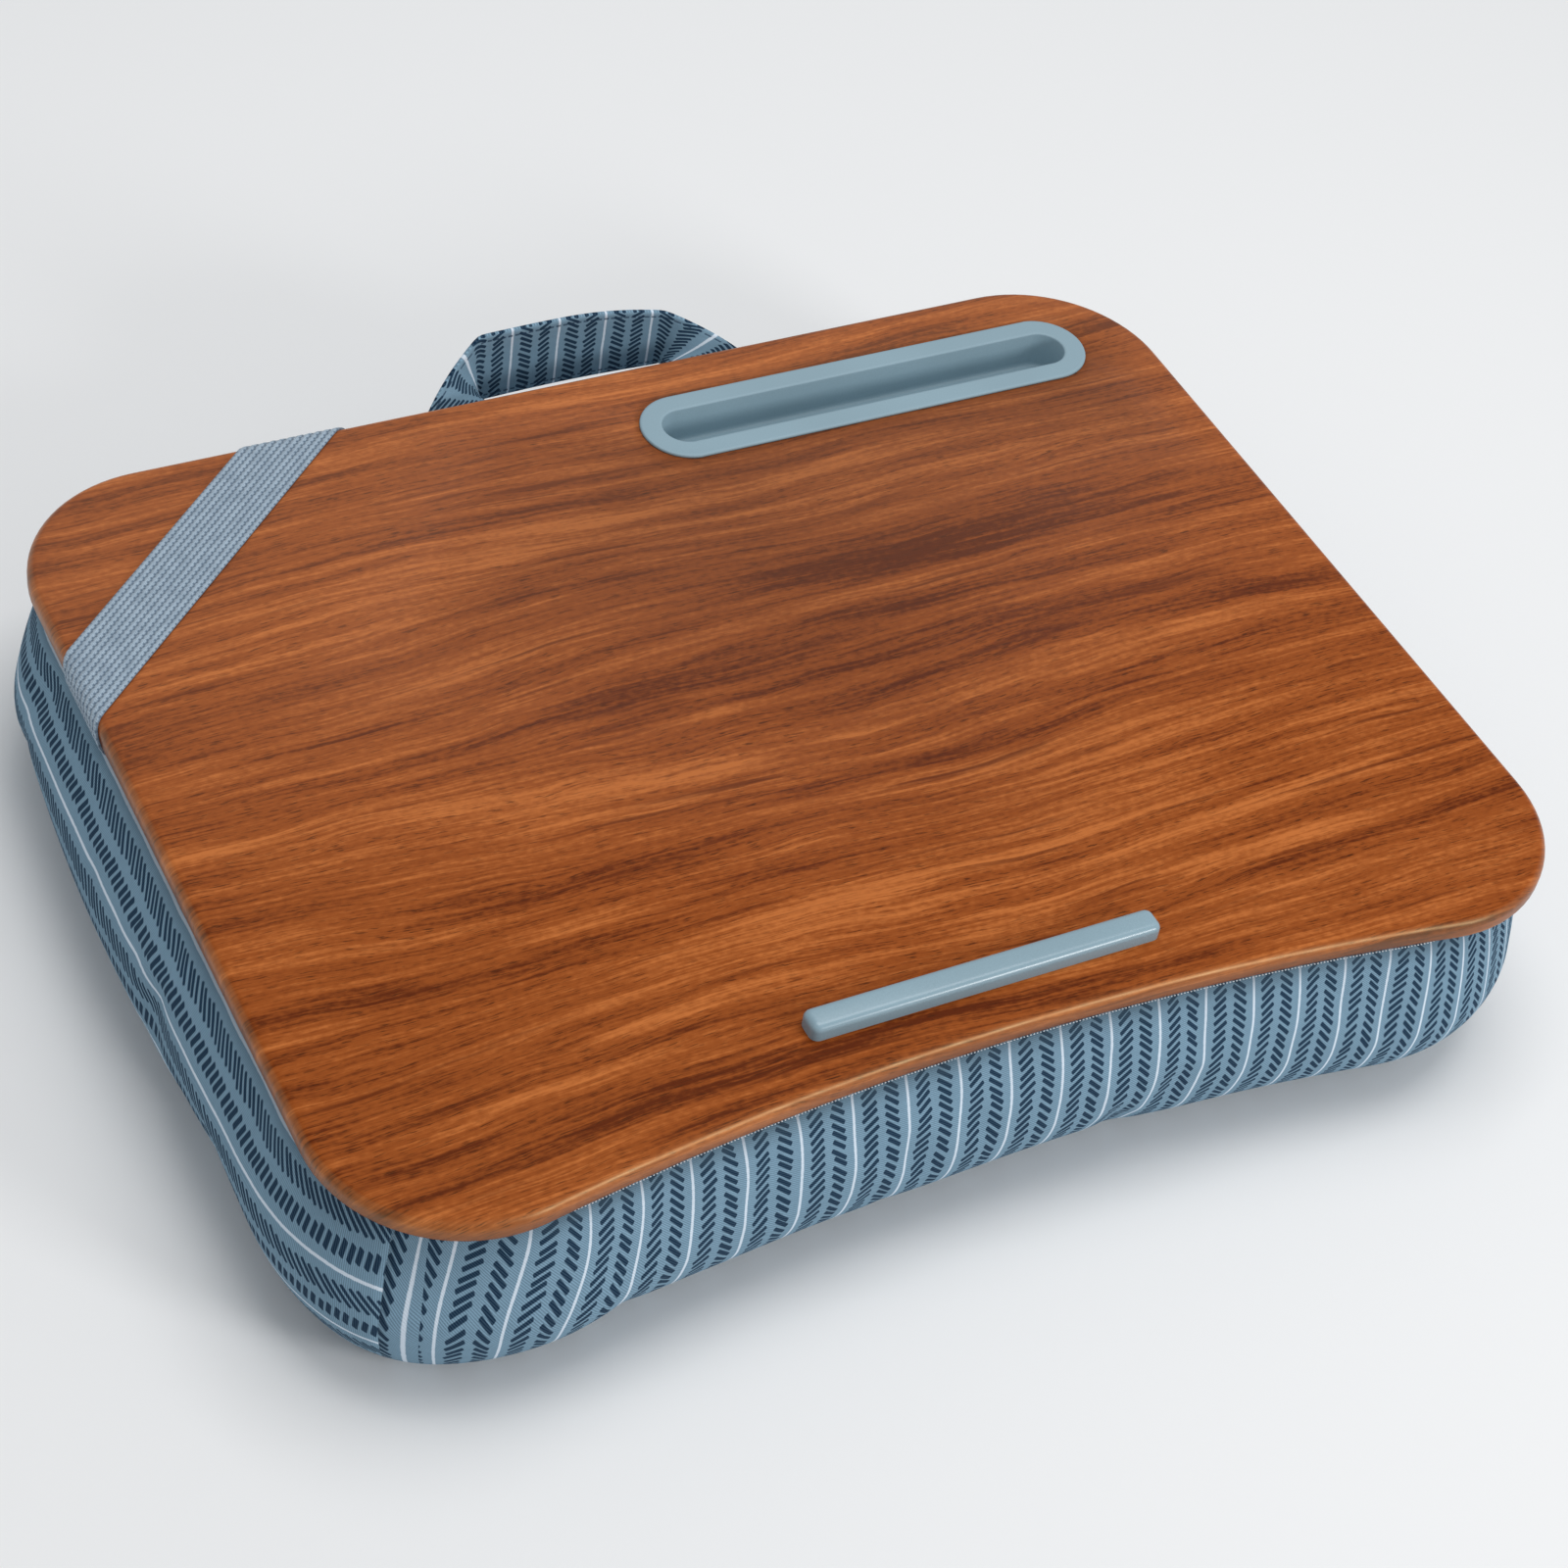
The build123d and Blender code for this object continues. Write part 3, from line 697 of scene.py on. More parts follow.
class LAPDESK_OT_board(bpy.types.Operator):
    """Make the walnut film that wraps the board, with its hole for the phone slot"""
    bl_idname = "lapdesk.board"
    bl_label = "Board"

    def execute(self, context):
        board = context.scene.lap_desk_board
        fittings = context.scene.lap_desk_fittings
        profile = edge_profile(board)
        travelled = [0.0]
        for (out_a, z_a), (out_b, z_b) in zip(profile, profile[1:]):
            travelled.append(travelled[-1] + math.hypot(out_b - out_a, z_b - z_a))
        flat_from = travelled[-1] - board.top_round
        bm = bmesh.new()
        rings = [[p.to_3d() + Vector((0, 0, z)) for p in plan_ring(board, out)] for out, z in profile]
        station, level = loft(bm, rings)
        spread = [plan_ring(board, -board.top_round + flat_from - way) for way in travelled]
        uv = bm.loops.layers.uv.new("film")
        for face in bm.faces:
            for corner in face.loops:
                corner[uv].uv = spread[corner.vert[level]][corner.vert[station]]
        middle = (SLOT_LOW + SLOT_HIGH) / 2
        radius = (SLOT_HIGH.y - SLOT_LOW.y) / 2 - fittings.flange + fittings.wall + 0.0003
        half_length = (SLOT_HIGH.x - SLOT_LOW.x - (SLOT_HIGH.y - SLOT_LOW.y)) / 2
        rim = loop_edges(bm, level, len(profile) - 1)
        hole = draw_loop(bm, stadium(middle, half_length, radius, BOARD_TOP))
        top = bmesh.ops.triangle_fill(bm, edges=rim + hole, use_beauty=True, normal=(0, 0, 1))["geom"]
        for face in [item for item in top if isinstance(item, bmesh.types.BMFace)]:
            for corner in face.loops:
                corner[uv].uv = corner.vert.co.xy
        bmesh.ops.recalc_face_normals(bm, faces=bm.faces)
        piece = finished(bm, "walnut_film_shell", walnut_finish(board), math.radians(40))
        thicken(piece, board.film)
        hand_over(piece, "woodgrain", "woodgrain_film")
        return {"FINISHED"}


# ---- fittings --------------------------------------------------------------------------------------

class LAPDESK_OT_phone_slot(bpy.types.Operator):
    """Make the phone slot's tray with its flat rim"""
    bl_idname = "lapdesk.phone_slot"
    bl_label = "Phone slot"

    def execute(self, context):
        fittings = context.scene.lap_desk_fittings
        middle = (SLOT_LOW + SLOT_HIGH) / 2
        outer = (SLOT_HIGH.y - SLOT_LOW.y) / 2
        half_length = (SLOT_HIGH.x - SLOT_LOW.x) / 2 - outer
        inner = outer - fittings.flange
        lip = fittings.flange_thickness / 2
        low = SLOT_LOW.z + fittings.floor
        profile = [(inner - fittings.wall, low), (inner - fittings.wall / 2, low),
                   (inner - lip / 2, low + lip), (inner, low + fittings.wall)]
        profile += [(inner, SLOT_HIGH.z - lip), (inner + lip * 0.3, SLOT_HIGH.z - lip * 0.3),
                    (inner + lip, SLOT_HIGH.z), (inner + 2 * lip, SLOT_HIGH.z)]
        profile += [(outer - 2 * lip, SLOT_HIGH.z), (outer - lip, SLOT_HIGH.z),
                    (outer - lip * 0.3, SLOT_HIGH.z - lip * 0.3), (outer, SLOT_HIGH.z - lip),
                    (outer, BOARD_TOP + lip / 4), (outer - lip / 4, BOARD_TOP)]
        profile += [(inner + fittings.wall, BOARD_TOP), (inner + fittings.wall, SLOT_LOW.z + lip),
                    (inner + fittings.wall - lip, SLOT_LOW.z)]
        rings = [stadium(middle, half_length, radius, z) for radius, z in profile]
        bm = bmesh.new()
        _, level = loft(bm, rings)
        for number in (0, len(profile) - 1):
            bmesh.ops.edgeloop_fill(bm, edges=loop_edges(bm, level, number))
        bmesh.ops.recalc_face_normals(bm, faces=bm.faces)
        finish = plastic_finish(fittings, "matte_moulded_plastic", 0.55, 0.25)
        piece = finished(bm, "phone_slot_tray", finish, math.radians(50))
        hand_over(piece, "blue_matte_plastic", "phone_slot_insert")
        return {"FINISHED"}


class LAPDESK_OT_ledge(bpy.types.Operator):
    """Make the device ledge, a bar with soft upper edges"""
    bl_idname = "lapdesk.ledge"
    bl_label = "Device ledge"

    def execute(self, context):
        fittings = context.scene.lap_desk_fittings
        size = LEDGE_HIGH - LEDGE_LOW
        bm = bmesh.new()
        bmesh.ops.create_cube(bm, size=1.0)
        bmesh.ops.scale(bm, vec=size, verts=bm.verts)
        bmesh.ops.translate(bm, vec=(LEDGE_LOW + LEDGE_HIGH) / 2, verts=bm.verts)
        upright = [e for e in bm.edges if abs(e.verts[0].co.z - e.verts[1].co.z) > size.z / 2]
        bmesh.ops.bevel(bm, geom=upright, offset=fittings.ledge_corner, segments=8, profile=0.5,
                        affect="EDGES", material=-1)
        top = [e for e in bm.edges if all(v.co.z > LEDGE_HIGH.z - size.z / 4 for v in e.verts)]
        bmesh.ops.bevel(bm, geom=top, offset=fittings.ledge_round, segments=6, profile=0.5,
                        affect="EDGES", material=-1)
        finish = plastic_finish(fittings, "satin_moulded_plastic", 0.24, 0.08)
        piece = finished(bm, "ledge_bar", finish, math.radians(35))
        hand_over(piece, "blue_gloss_plastic", "device_ledge")
        return {"FINISHED"}


# ---- elastic strap ----------------------------------------------------------------------------------

def over_edge(board, reach, lift):
    """Where cloth laid on the board goes near its edge: along the top, round the side and back under.
    Reach is how far past the edge it would be if flat. Gives its outset and height."""
    past = reach + board.top_round
    if past <= 0:
        return reach, BOARD_TOP + lift
    if past <= board.top_round * QUARTER:
        turn = past / board.top_round
        swing = board.top_round + lift
        return swing * math.sin(turn) - board.top_round, BOARD_TOP - board.top_round + swing * math.cos(turn)
    past -= board.top_round * QUARTER
    side = BOARD_TOP - BOARD_BOTTOM - board.top_round - board.bottom_round
    if past <= side:
        return lift, BOARD_TOP - board.top_round - past
    past -= side
    swing = board.bottom_round + lift
    if past <= board.bottom_round * QUARTER:
        turn = past / board.bottom_round
        return (swing * math.cos(turn) - board.bottom_round,
                BOARD_BOTTOM + board.bottom_round - swing * math.sin(turn))
    past -= board.bottom_round * QUARTER
    return -board.bottom_round - past, BOARD_BOTTOM - lift


def laid_on_board(board, spot, lift):
    """A point of flat cloth, wrapped over the left or back edge where it passes them."""
    left = -HALF_WIDTH - spot.x
    back = spot.y - HALF_DEPTH
    if left > back:
        outset, height = over_edge(board, left, lift)
        return Vector((-HALF_WIDTH - outset, spot.y, height))
    outset, height = over_edge(board, back, lift)
    return Vector((spot.x, HALF_DEPTH + outset, height))


RIB_DEPTH = 0.28           # of the elastic's thickness
STRAP_LENGTH_STEPS = 64
RIB_STEPS = 6


class LAPDESK_OT_strap(bpy.types.Operator):
    """Make the ribbed elastic strap in two halves that meet at its middle"""
    bl_idname = "lapdesk.strap"
    bl_label = "Elastic strap"

    def execute(self, context):
        board = context.scene.lap_desk_board
        strap = context.scene.lap_desk_strap
        left = Vector((-HALF_WIDTH, HALF_DEPTH - strap.left_reach))
        back = Vector((-HALF_WIDTH + strap.back_reach, HALF_DEPTH))
        run = (back - left).normalized()
        aside = Vector((-run.y, run.x))
        middle = (left + back) / 2
        finish = elastic_finish(strap)
        edge_height = BOARD_TOP - BOARD_BOTTOM
        ends = (("left", left, -run, -run.x), ("back", back, run, run.y))
        for name, edge_point, way, cosine in ends:
            free = (edge_point - middle).length
            total = free + (edge_height + strap.tail) / abs(cosine)
            bm = bmesh.new()
            across_steps = strap.ribs * RIB_STEPS
            bmesh.ops.create_grid(bm, x_segments=STRAP_LENGTH_STEPS, y_segments=across_steps, size=0.5)
            uv = bm.loops.layers.uv.new("weave")
            rib_width = strap.width / strap.ribs
            for face in bm.faces:
                for corner in face.loops:
                    along, across = corner.vert.co.x + 0.5, corner.vert.co.y + 0.5
                    corner[uv].uv = (across * strap.ribs, way.dot(run) * along * total / rib_width)
            for vert in bm.verts:
                along, across = vert.co.x + 0.5, vert.co.y + 0.5
                crest = math.sin(math.pi * across * strap.ribs) ** 2
                lift = strap.thickness * (1 - RIB_DEPTH * (1 - math.sqrt(crest)))
                spot = middle + way * along * total + aside * (across - 0.5) * strap.width
                vert.co = laid_on_board(board, spot, lift)
            bmesh.ops.recalc_face_normals(bm, faces=bm.faces)
            if max(bm.faces, key=lambda face: face.calc_center_median().z).normal.z < 0:
                bmesh.ops.reverse_faces(bm, faces=bm.faces)
            bmesh.ops.solidify(bm, geom=bm.faces, thickness=strap.thickness * (1 - RIB_DEPTH) - 0.0001)
            piece = finished(bm, f"elastic_{name}_half", finish, math.radians(60))
            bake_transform(piece)
            hand_over(piece, "elastic", f"elastic_strap_{name}_end", "elastic_strap_span", body=None)
        return {"FINISHED"}


# ---- carry handle ------------------------------------------------------------------------------------

HANDLE_CROSS_STEPS = 10


def handle_stations(handle):
    """Pairs of edge points along the band, from one sewn end to the other, with the cloth's length.
    The first of a pair is on the band's outer edge at the ends and its upper edge on the span."""
    hinge_y = TABS_HIGH.y + 0.0011
    hinge_z = (TABS_LOW.z + TABS_HIGH.z) / 2
    span_y = HANDLE_HIGH.y - handle.thickness / 2
    top_z, low_z = HANDLE_HIGH.z, HANDLE_HIGH.z - handle.band
    tab_y = TABS_LOW.y

    def end(side, sunk):
        inner_x = handle.centre + side * (handle.span / 2 - handle.splay)
        outer_x = inner_x + side * handle.band
        corner_x = handle.centre + side * handle.span / 2
        outer, inner = Vector((outer_x, hinge_y, hinge_z)), Vector((inner_x, hinge_y, hinge_z))
        top, low = Vector((corner_x, span_y - sunk / 5, top_z - sunk)), Vector((corner_x, span_y, low_z))
        pairs = [(Vector((outer_x, y, hinge_z)), Vector((inner_x, y, hinge_z)))
                 for y in (tab_y, (tab_y + hinge_y) / 2, hinge_y - 0.001)]
        for step in range(1, 9):
            share = step / 9
            puff = 0.0012 * math.sin(math.pi * share)
            swell = Vector((side * puff, puff * 0.6, puff * 0.4))
            pairs.append((outer.lerp(top, share) + swell, inner.lerp(low, share) + swell * 0.4))
        return pairs, (top, low)

    left_pairs, left_corner = end(-1, 0.0)
    right_pairs, right_corner = end(1, handle.droop)
    span = []
    for step in range(1, 24):
        share = step / 24
        bow = Vector((0, 0.0012 * math.sin(math.pi * share), 0))
        upper = left_corner[0].lerp(right_corner[0], share) + bow
        upper.z = top_z - handle.droop * (max(0.0, share - 0.45) / 0.55) ** 2
        span.append((upper, left_corner[1].lerp(right_corner[1], share) + bow))
    return left_pairs + [left_corner] + span + [right_corner] + right_pairs[::-1]


class LAPDESK_OT_handle(bpy.types.Operator):
    """Make the folded fabric carry handle, from one sewn end to the other"""
    bl_idname = "lapdesk.handle"
    bl_label = "Carry handle"

    def execute(self, context):
        handle = context.scene.lap_desk_handle
        cushion = context.scene.lap_desk_cushion
        pairs = handle_stations(handle)
        lengths = [0.0]
        for first, second in zip(pairs, pairs[1:]):
            middle_step = (second[0] + second[1] - first[0] - first[1]) / 2
            lengths.append(lengths[-1] + middle_step.length)
        bm = bmesh.new()
        bmesh.ops.create_grid(bm, x_segments=len(pairs) - 1, y_segments=HANDLE_CROSS_STEPS, size=0.5)
        cloth = bm.loops.layers.uv.new("cloth")
        band = bm.loops.layers.uv.new("band")
        period = 0.019
        for face in bm.faces:
            for corner in face.loops:
                step = round((corner.vert.co.x + 0.5) * (len(pairs) - 1))
                across = corner.vert.co.y + 0.5
                corner[cloth].uv = (lengths[step] / period, -across * handle.band / period)
                corner[band].uv = (lengths[step], across)
        for vert in bm.verts:
            upper, lower = pairs[round((vert.co.x + 0.5) * (len(pairs) - 1))]
            vert.co = lower.lerp(upper, vert.co.y + 0.5)
        bmesh.ops.recalc_face_normals(bm, faces=bm.faces)
        piece = finished(bm, "carry_loop", printed_cloth(cushion, "handle_cloth", stitched=True))
        thicken(piece, handle.thickness, 0.0)
        subdivide(piece, 1)
        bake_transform(piece)
        hand_over(piece, "printed_fabric", "carry_handle", "handle_webbing", "handle_tabs", body=None)
        return {"FINISHED"}


# ---- cushion -----------------------------------------------------------------------------------------

UPPER_LEVELS = 12
LOWER_LEVELS = 12
SIDE_PERIOD = 0.0239
SIDE_FIRST_STRIPE = 0.0037
SIDE_SHEAR = 0.59
FRONT_SPACING = 0.0209
CORNER_SLANT = (-0.1, 2.5, 0.15)            # from here leftwards the dashes spread and slant
UPPER_DRIFT = 0.003         # how far the stripes wander to the right at the rim
PULLED = (-0.152, 0.033, 0.0105, 0.003)     # where they wander most: place, reach, at the rim, at the waist
SETTLING_FRAMES = 20
MOST_SWELL = 0.006
BAG_INSET = 0.006
STUFFING_TOP = 0.0612
TAPE_INSET = 0.0012
TAPE_THICKNESS = 0.0006


SETTLED = (                 # where the stuffing has pushed the cloth: x, y, shift in x, in y, reach
    (-0.225, 0.015, -0.0056, 0.0, 0.085),
    (-0.22, -0.155, -0.001, -0.006, 0.04),
    (-0.215, 0.163, 0.006, 0.0, 0.045),
    (0.215, -0.125, -0.0085, 0.001, 0.055),
    (0.0, -0.15, 0.0, -0.002, 0.14),
)
FULL_CORNERS = ((-0.205, -0.15, 0.45), (0.2, -0.145, 0.1))     # x, y, share of the under run
FULL_REACH = 0.075


def cushion_profile(cushion, inset=0.0):
    """The cushion's section from the turned-in rim down to its flat underside, as steps of
    (outset, height, share of the stuffing's push, share of the run underneath)."""
    rim = -cushion.rim_inset - inset
    top = BOARD_BOTTOM - 0.0002 - inset
    widest = cushion.bulge - inset
    steps = [(rim - 0.017, top, 0.0, 0.0), (rim - 0.0016, top, 0.0, 0.0)]
    for step in range(UPPER_LEVELS + 1):
        share = step / UPPER_LEVELS
        out = rim + (widest - rim) * (0.4 * share + 0.6 * math.sin(QUARTER * share))
        height = top - 0.0008 - (top - 0.0008 - cushion.waist) * share
        steps.append((out, height, share * share * (3 - 2 * share), 0.0))
    for step in range(1, LOWER_LEVELS + 1):
        turn = QUARTER * step / LOWER_LEVELS
        under = 1 - math.cos(turn)
        height = inset + (cushion.waist - inset) * (1 - math.sin(turn))
        steps.append((widest - cushion.under_run * under, height, 1.0, under))
    steps.append((widest - cushion.under_run - 0.012, inset, 1.0, 1.0))
    return steps


def nearness(spot, x, y, reach):
    """From 1 at a place to 0 well away from it."""
    return math.exp(-((spot.x - x) ** 2 + (spot.y - y) ** 2) / reach ** 2)


def cushion_rings(board, cushion, inset=0.0):
    """The loops of the cushion's surface, from the rim down."""
    ways = outward(board, cushion.corner_slack)
    waist = plan_ring(board, cushion.bulge, cushion.corner_slack)
    pushes = []
    for spot, way in zip(waist, ways):
        push = Vector((0.0, 0.0))
        for x, y, shift_x, shift_y, reach in SETTLED:
            push += Vector((shift_x, shift_y)) * nearness(spot, x, y, reach)
        full = sum(share * nearness(spot, x, y, FULL_REACH) for x, y, share in FULL_CORNERS)
        pushes.append((push, way * full * cushion.under_run))
    rings = []
    for out, height, pushed, under in cushion_profile(cushion, inset):
        spots = plan_ring(board, out, cushion.corner_slack)
        rings.append([(spot + push * pushed + fuller * under).to_3d() + Vector((0, 0, height))
                      for spot, (push, fuller) in zip(spots, pushes)])
    return rings


PLEAT = -0.2062             # a fold by the left seam that hides half of one spacing


def stripe_number(distance, before_pleat=False):
    """Which pale stripe a place along the front is at, counted from the left; they widen leftwards."""
    first, spacing, narrowing = -0.1788, 0.02089, 0.0001383
    if before_pleat:
        return min(-1.87, -2 + (distance + 0.2104) / spacing)
    if distance > 0.2:
        return stripe_number(0.2) + (distance - 0.2) / 0.016
    return (spacing - math.sqrt(spacing ** 2 - 4 * narrowing * (distance - first))) / (2 * narrowing)


class CoverShape:
    """The cover's loops, its seams and the cloth's own lengths, at some depth inside its surface."""

    def __init__(self, board, cushion, inset=0.0):
        self.rings = cushion_rings(board, cushion, inset)
        self.count = len(self.rings[0])
        self.last = len(self.rings) - 1
        self.waist = 2 + UPPER_LEVELS
        middle = self.rings[self.waist]
        self.seams = []
        for sign_x, sign_y in ((-1, -1), (1, -1), (1, 1), (-1, 1)):
            near = [i for i in range(self.count) if middle[i].y * sign_y > 0]
            self.seams.append(min(near, key=lambda i: abs(middle[i].x - sign_x * cushion.seam)))
        self.lower = min(range(self.waist + 1, self.last),
                         key=lambda n: abs(self.rings[n][0].z - cushion.bottom_seam))
        self.down = [[0.0] * self.count]
        for upper, lower in zip(self.rings, self.rings[1:]):
            steps = [(low - high).length for high, low in zip(upper, lower)]
            self.down.append([sum(pair) for pair in zip(self.down[-1], steps)])
        self.around = [0.0]
        for first, second in zip(middle, middle[1:] + middle[:1]):
            self.around.append(self.around[-1] + (second - first).length)
        front = min(range(FRONT_STEPS), key=lambda i: abs(middle[i].x))
        back = min((i for i in range(self.count) if middle[i].y > 0), key=lambda i: abs(middle[i].x))
        self.front_middle = self.around[front]
        self.back_middle = self.around[back]
        self.front_level = self.rings[self.last][front].y - self.down[self.last][front] + self.down[1][front]
        self.back_level = self.rings[self.last][back].y + self.down[self.last][back] - self.down[1][back]

    def panel(self, index, number):
        """Which panel a face is in: 0 the front, underside and back, 1 the left side, 2 the right."""
        front_left, front_right, back_right, back_left = self.seams
        if number > self.lower:
            return 0
        if front_right <= index < back_right:
            return 2
        if back_left <= index < front_left:
            return 1
        return 0

    def loft(self):
        """The surface as a mesh with each face marked with its panel."""
        bm = bmesh.new()
        station, level = loft(bm, self.rings)
        panel = bm.faces.layers.int.new("panel")
        for face in bm.faces:
            face[panel] = self.panel(self.column(face, station), max(vert[level] for vert in face.verts))
        return bm, station, level, panel

    def column(self, face, station):
        """The station at a face's start, going round."""
        indices = [vert[station] for vert in face.verts]
        wraps = max(indices) - min(indices) > self.count / 2
        return max(indices) if wraps else min(indices)

    def front_place(self, index):
        """How far a station is round from the middle of the front, below 0 to the left."""
        place = self.around[index] - self.front_middle
        return place - self.around[self.count] if index > self.count / 2 else place

    def cloth_place(self, kind, index, number, before_pleat):
        """Where a corner of a face lies on the printed cloth."""
        path = self.down[number][index] - self.down[1][index]
        if kind:
            forward = self.around[index] if kind == 1 else -self.around[index]
            return (path - SIDE_FIRST_STRIPE) / SIDE_PERIOD, (forward - SIDE_SHEAR * path) / SIDE_PERIOD
        whole = self.down[self.last][index] - self.down[1][index]
        half = self.down[self.waist][index] - self.down[1][index]
        behind = self.rings[self.waist][index].y > 0
        place = self.back_middle - self.around[index] if behind else self.front_place(index)
        middle, reach, at_rim, at_waist = PULLED
        pull = math.exp(-((place - middle) / reach) ** 2)
        share = (1 + math.cos(math.pi * min(path / (half * (1 + 0.35 * pull)), 1.0))) / 2
        drift = UPPER_DRIFT * share + pull * (at_rim * share - at_waist)
        under = max(0.0, (number - self.waist - 7) / (self.last - self.waist - 7))
        under *= under * (3 - 2 * under)
        drift -= under * (self.rings[number][index].x - self.rings[self.waist][index].x)
        level = self.rings[self.last][index].y + (whole if behind else -whole)
        level += (1 - under) * ((self.back_level if behind else self.front_level) - level)
        if behind:
            return stripe_number(place - drift), (path - level) / FRONT_SPACING
        taken_up = max(0.0, min(path, 0.045) - 0.02) ** 2 / 0.12
        aside = max(0.0, CORNER_SLANT[0] - place)
        taken_up += aside * (CORNER_SLANT[1] * path - CORNER_SLANT[2])
        return stripe_number(place - drift, before_pleat), (taken_up * (1 - under) - path - level) / FRONT_SPACING


class LAPDESK_OT_cushion(bpy.types.Operator):
    """Make the cushion's printed cover in its three sewn panels"""
    bl_idname = "lapdesk.cushion"
    bl_label = "Cushion cover"

    def execute(self, context):
        cushion = context.scene.lap_desk_cushion
        shape = CoverShape(context.scene.lap_desk_board, cushion)
        bm, station, level, panel = shape.loft()
        base = bmesh.ops.triangle_fill(bm, edges=loop_edges(bm, level, shape.last), use_beauty=True,
                                       normal=(0, 0, -1))["geom"]
        uv = bm.loops.layers.uv.new("cloth")
        for face in bm.faces:
            for corner in face.loops:
                vert = corner.vert
                folded = shape.front_place(shape.column(face, station)) < PLEAT
                corner[uv].uv = shape.cloth_place(face[panel], vert[station], vert[level], folded)
        for face in [item for item in base if isinstance(item, bmesh.types.BMFace)]:
            for corner in face.loops:
                corner[uv].uv = stripe_number(corner.vert.co.x), -corner.vert.co.y / FRONT_SPACING
        bmesh.ops.recalc_face_normals(bm, faces=bm.faces)
        cloth = printed_cloth(cushion, "cushion_cloth")
        whole = finished(bm, "cover_whole", cloth)
        puff(whole, shape)
        names = (("cover_main_panel", "cover_front_bottom_back", "cover_hem"),
                 ("cover_left_panel", "cover_side_left"), ("cover_right_panel", "cover_side_right"))
        for kind, (name, *nodes) in enumerate(names):
            part = bmesh.new()
            part.from_mesh(whole.data)
            layer = part.faces.layers.int["panel"]
            bmesh.ops.delete(part, geom=[face for face in part.faces if face[layer] != kind], context="FACES")
            piece = finished(part, name, cloth)
            subdivide(piece, 1)
            thicken(piece, cushion.cloth)
            hand_over(piece, "printed_fabric", *nodes)
        bpy.data.objects.remove(whole)
        return {"FINISHED"}


def puff(piece, shape):
    """Blows the held cloth up a little and keeps the shape that it settles to."""
    levels = [item.value for item in piece.data.attributes["level"].data]
    stations = [item.value for item in piece.data.attributes["station"].data]
    sewn = set(shape.seams)
    held = [i for i, number in enumerate(levels)
            if number <= 2 or number >= shape.last - 1 or stations[i] in sewn]
    piece.vertex_groups.new(name="held").add(held, 1.0, "REPLACE")
    air = piece.modifiers.new("air", "CLOTH")
    air.settings.vertex_group_mass = "held"
    air.settings.use_pressure = True
    air.settings.uniform_pressure_force = 4.0
    air.settings.effector_weights.gravity = 0.0
    air.settings.tension_stiffness = 20.0
    air.settings.compression_stiffness = 20.0
    air.settings.bending_stiffness = 3.0
    air.settings.shrink_min = -0.004
    air.settings.quality = 6
    air.point_cache.frame_start = 1
    air.point_cache.frame_end = SETTLING_FRAMES
    rest = [vert.co.copy() for vert in piece.data.vertices]
    scene = bpy.context.scene
    for number in range(1, SETTLING_FRAMES + 1):
        scene.frame_set(number)
    settled = piece.evaluated_get(bpy.context.evaluated_depsgraph_get())
    moved = [vert.co.copy() for vert in settled.data.vertices]
    piece.modifiers.remove(air)
    for vert, start, end in zip(piece.data.vertices, rest, moved):
        shift = end - start
        if shift.length > MOST_SWELL:
            shift *= MOST_SWELL / shift.length
        vert.co = start + shift
        vert.co.z = max(vert.co.z, 0.0)
    piece.data.update()
    scene.frame_set(1)


STITCH_PITCH = 0.0012
STITCH_OUTSET = -0.0011
STITCH_HEIGHT = BOARD_BOTTOM - 0.0004
STITCH_HALF = (0.00045, 0.00026)     # along and across
STITCH_TILT = 0.5


class LAPDESK_OT_overlock(bpy.types.Operator):
    """Make the pale overlock stitches along the cover's turned-in rim"""
    bl_idname = "lapdesk.overlock"
    bl_label = "Overlock stitches"

    def execute(self, context):
        board = context.scene.lap_desk_board
        cushion = context.scene.lap_desk_cushion
        line = plan_ring(board, STITCH_OUTSET, cushion.corner_slack)
        line.append(line[0])
        travelled = [0.0]
        for first, second in zip(line, line[1:]):
            travelled.append(travelled[-1] + (second - first).length)
        count = int(travelled[-1] / STITCH_PITCH)
        half, radius = STITCH_HALF
        bm = bmesh.new()
        step = 0
        for number in range(count):
            place = travelled[-1] * number / count
            while travelled[step + 1] <= place:
                step += 1
            way = (line[step + 1] - line[step]).normalized()
            spot = line[step] + way * (place - travelled[step])
            tilt = Matrix.Rotation(STITCH_TILT, 4, "Y")
            turn = Matrix.Rotation(math.atan2(way.y, way.x), 4, "Z") @ tilt
            shape = Matrix.Translation((spot.x, spot.y, STITCH_HEIGHT)) @ turn
            shape = shape @ Matrix.Diagonal((half, radius, radius, 1.0))
            bmesh.ops.create_uvsphere(bm, u_segments=6, v_segments=4, radius=1.0, matrix=shape)
        piece = finished(bm, "overlock_thread", thread_finish())
        hand_over(piece, "hem_fabric")
        return {"FINISHED"}


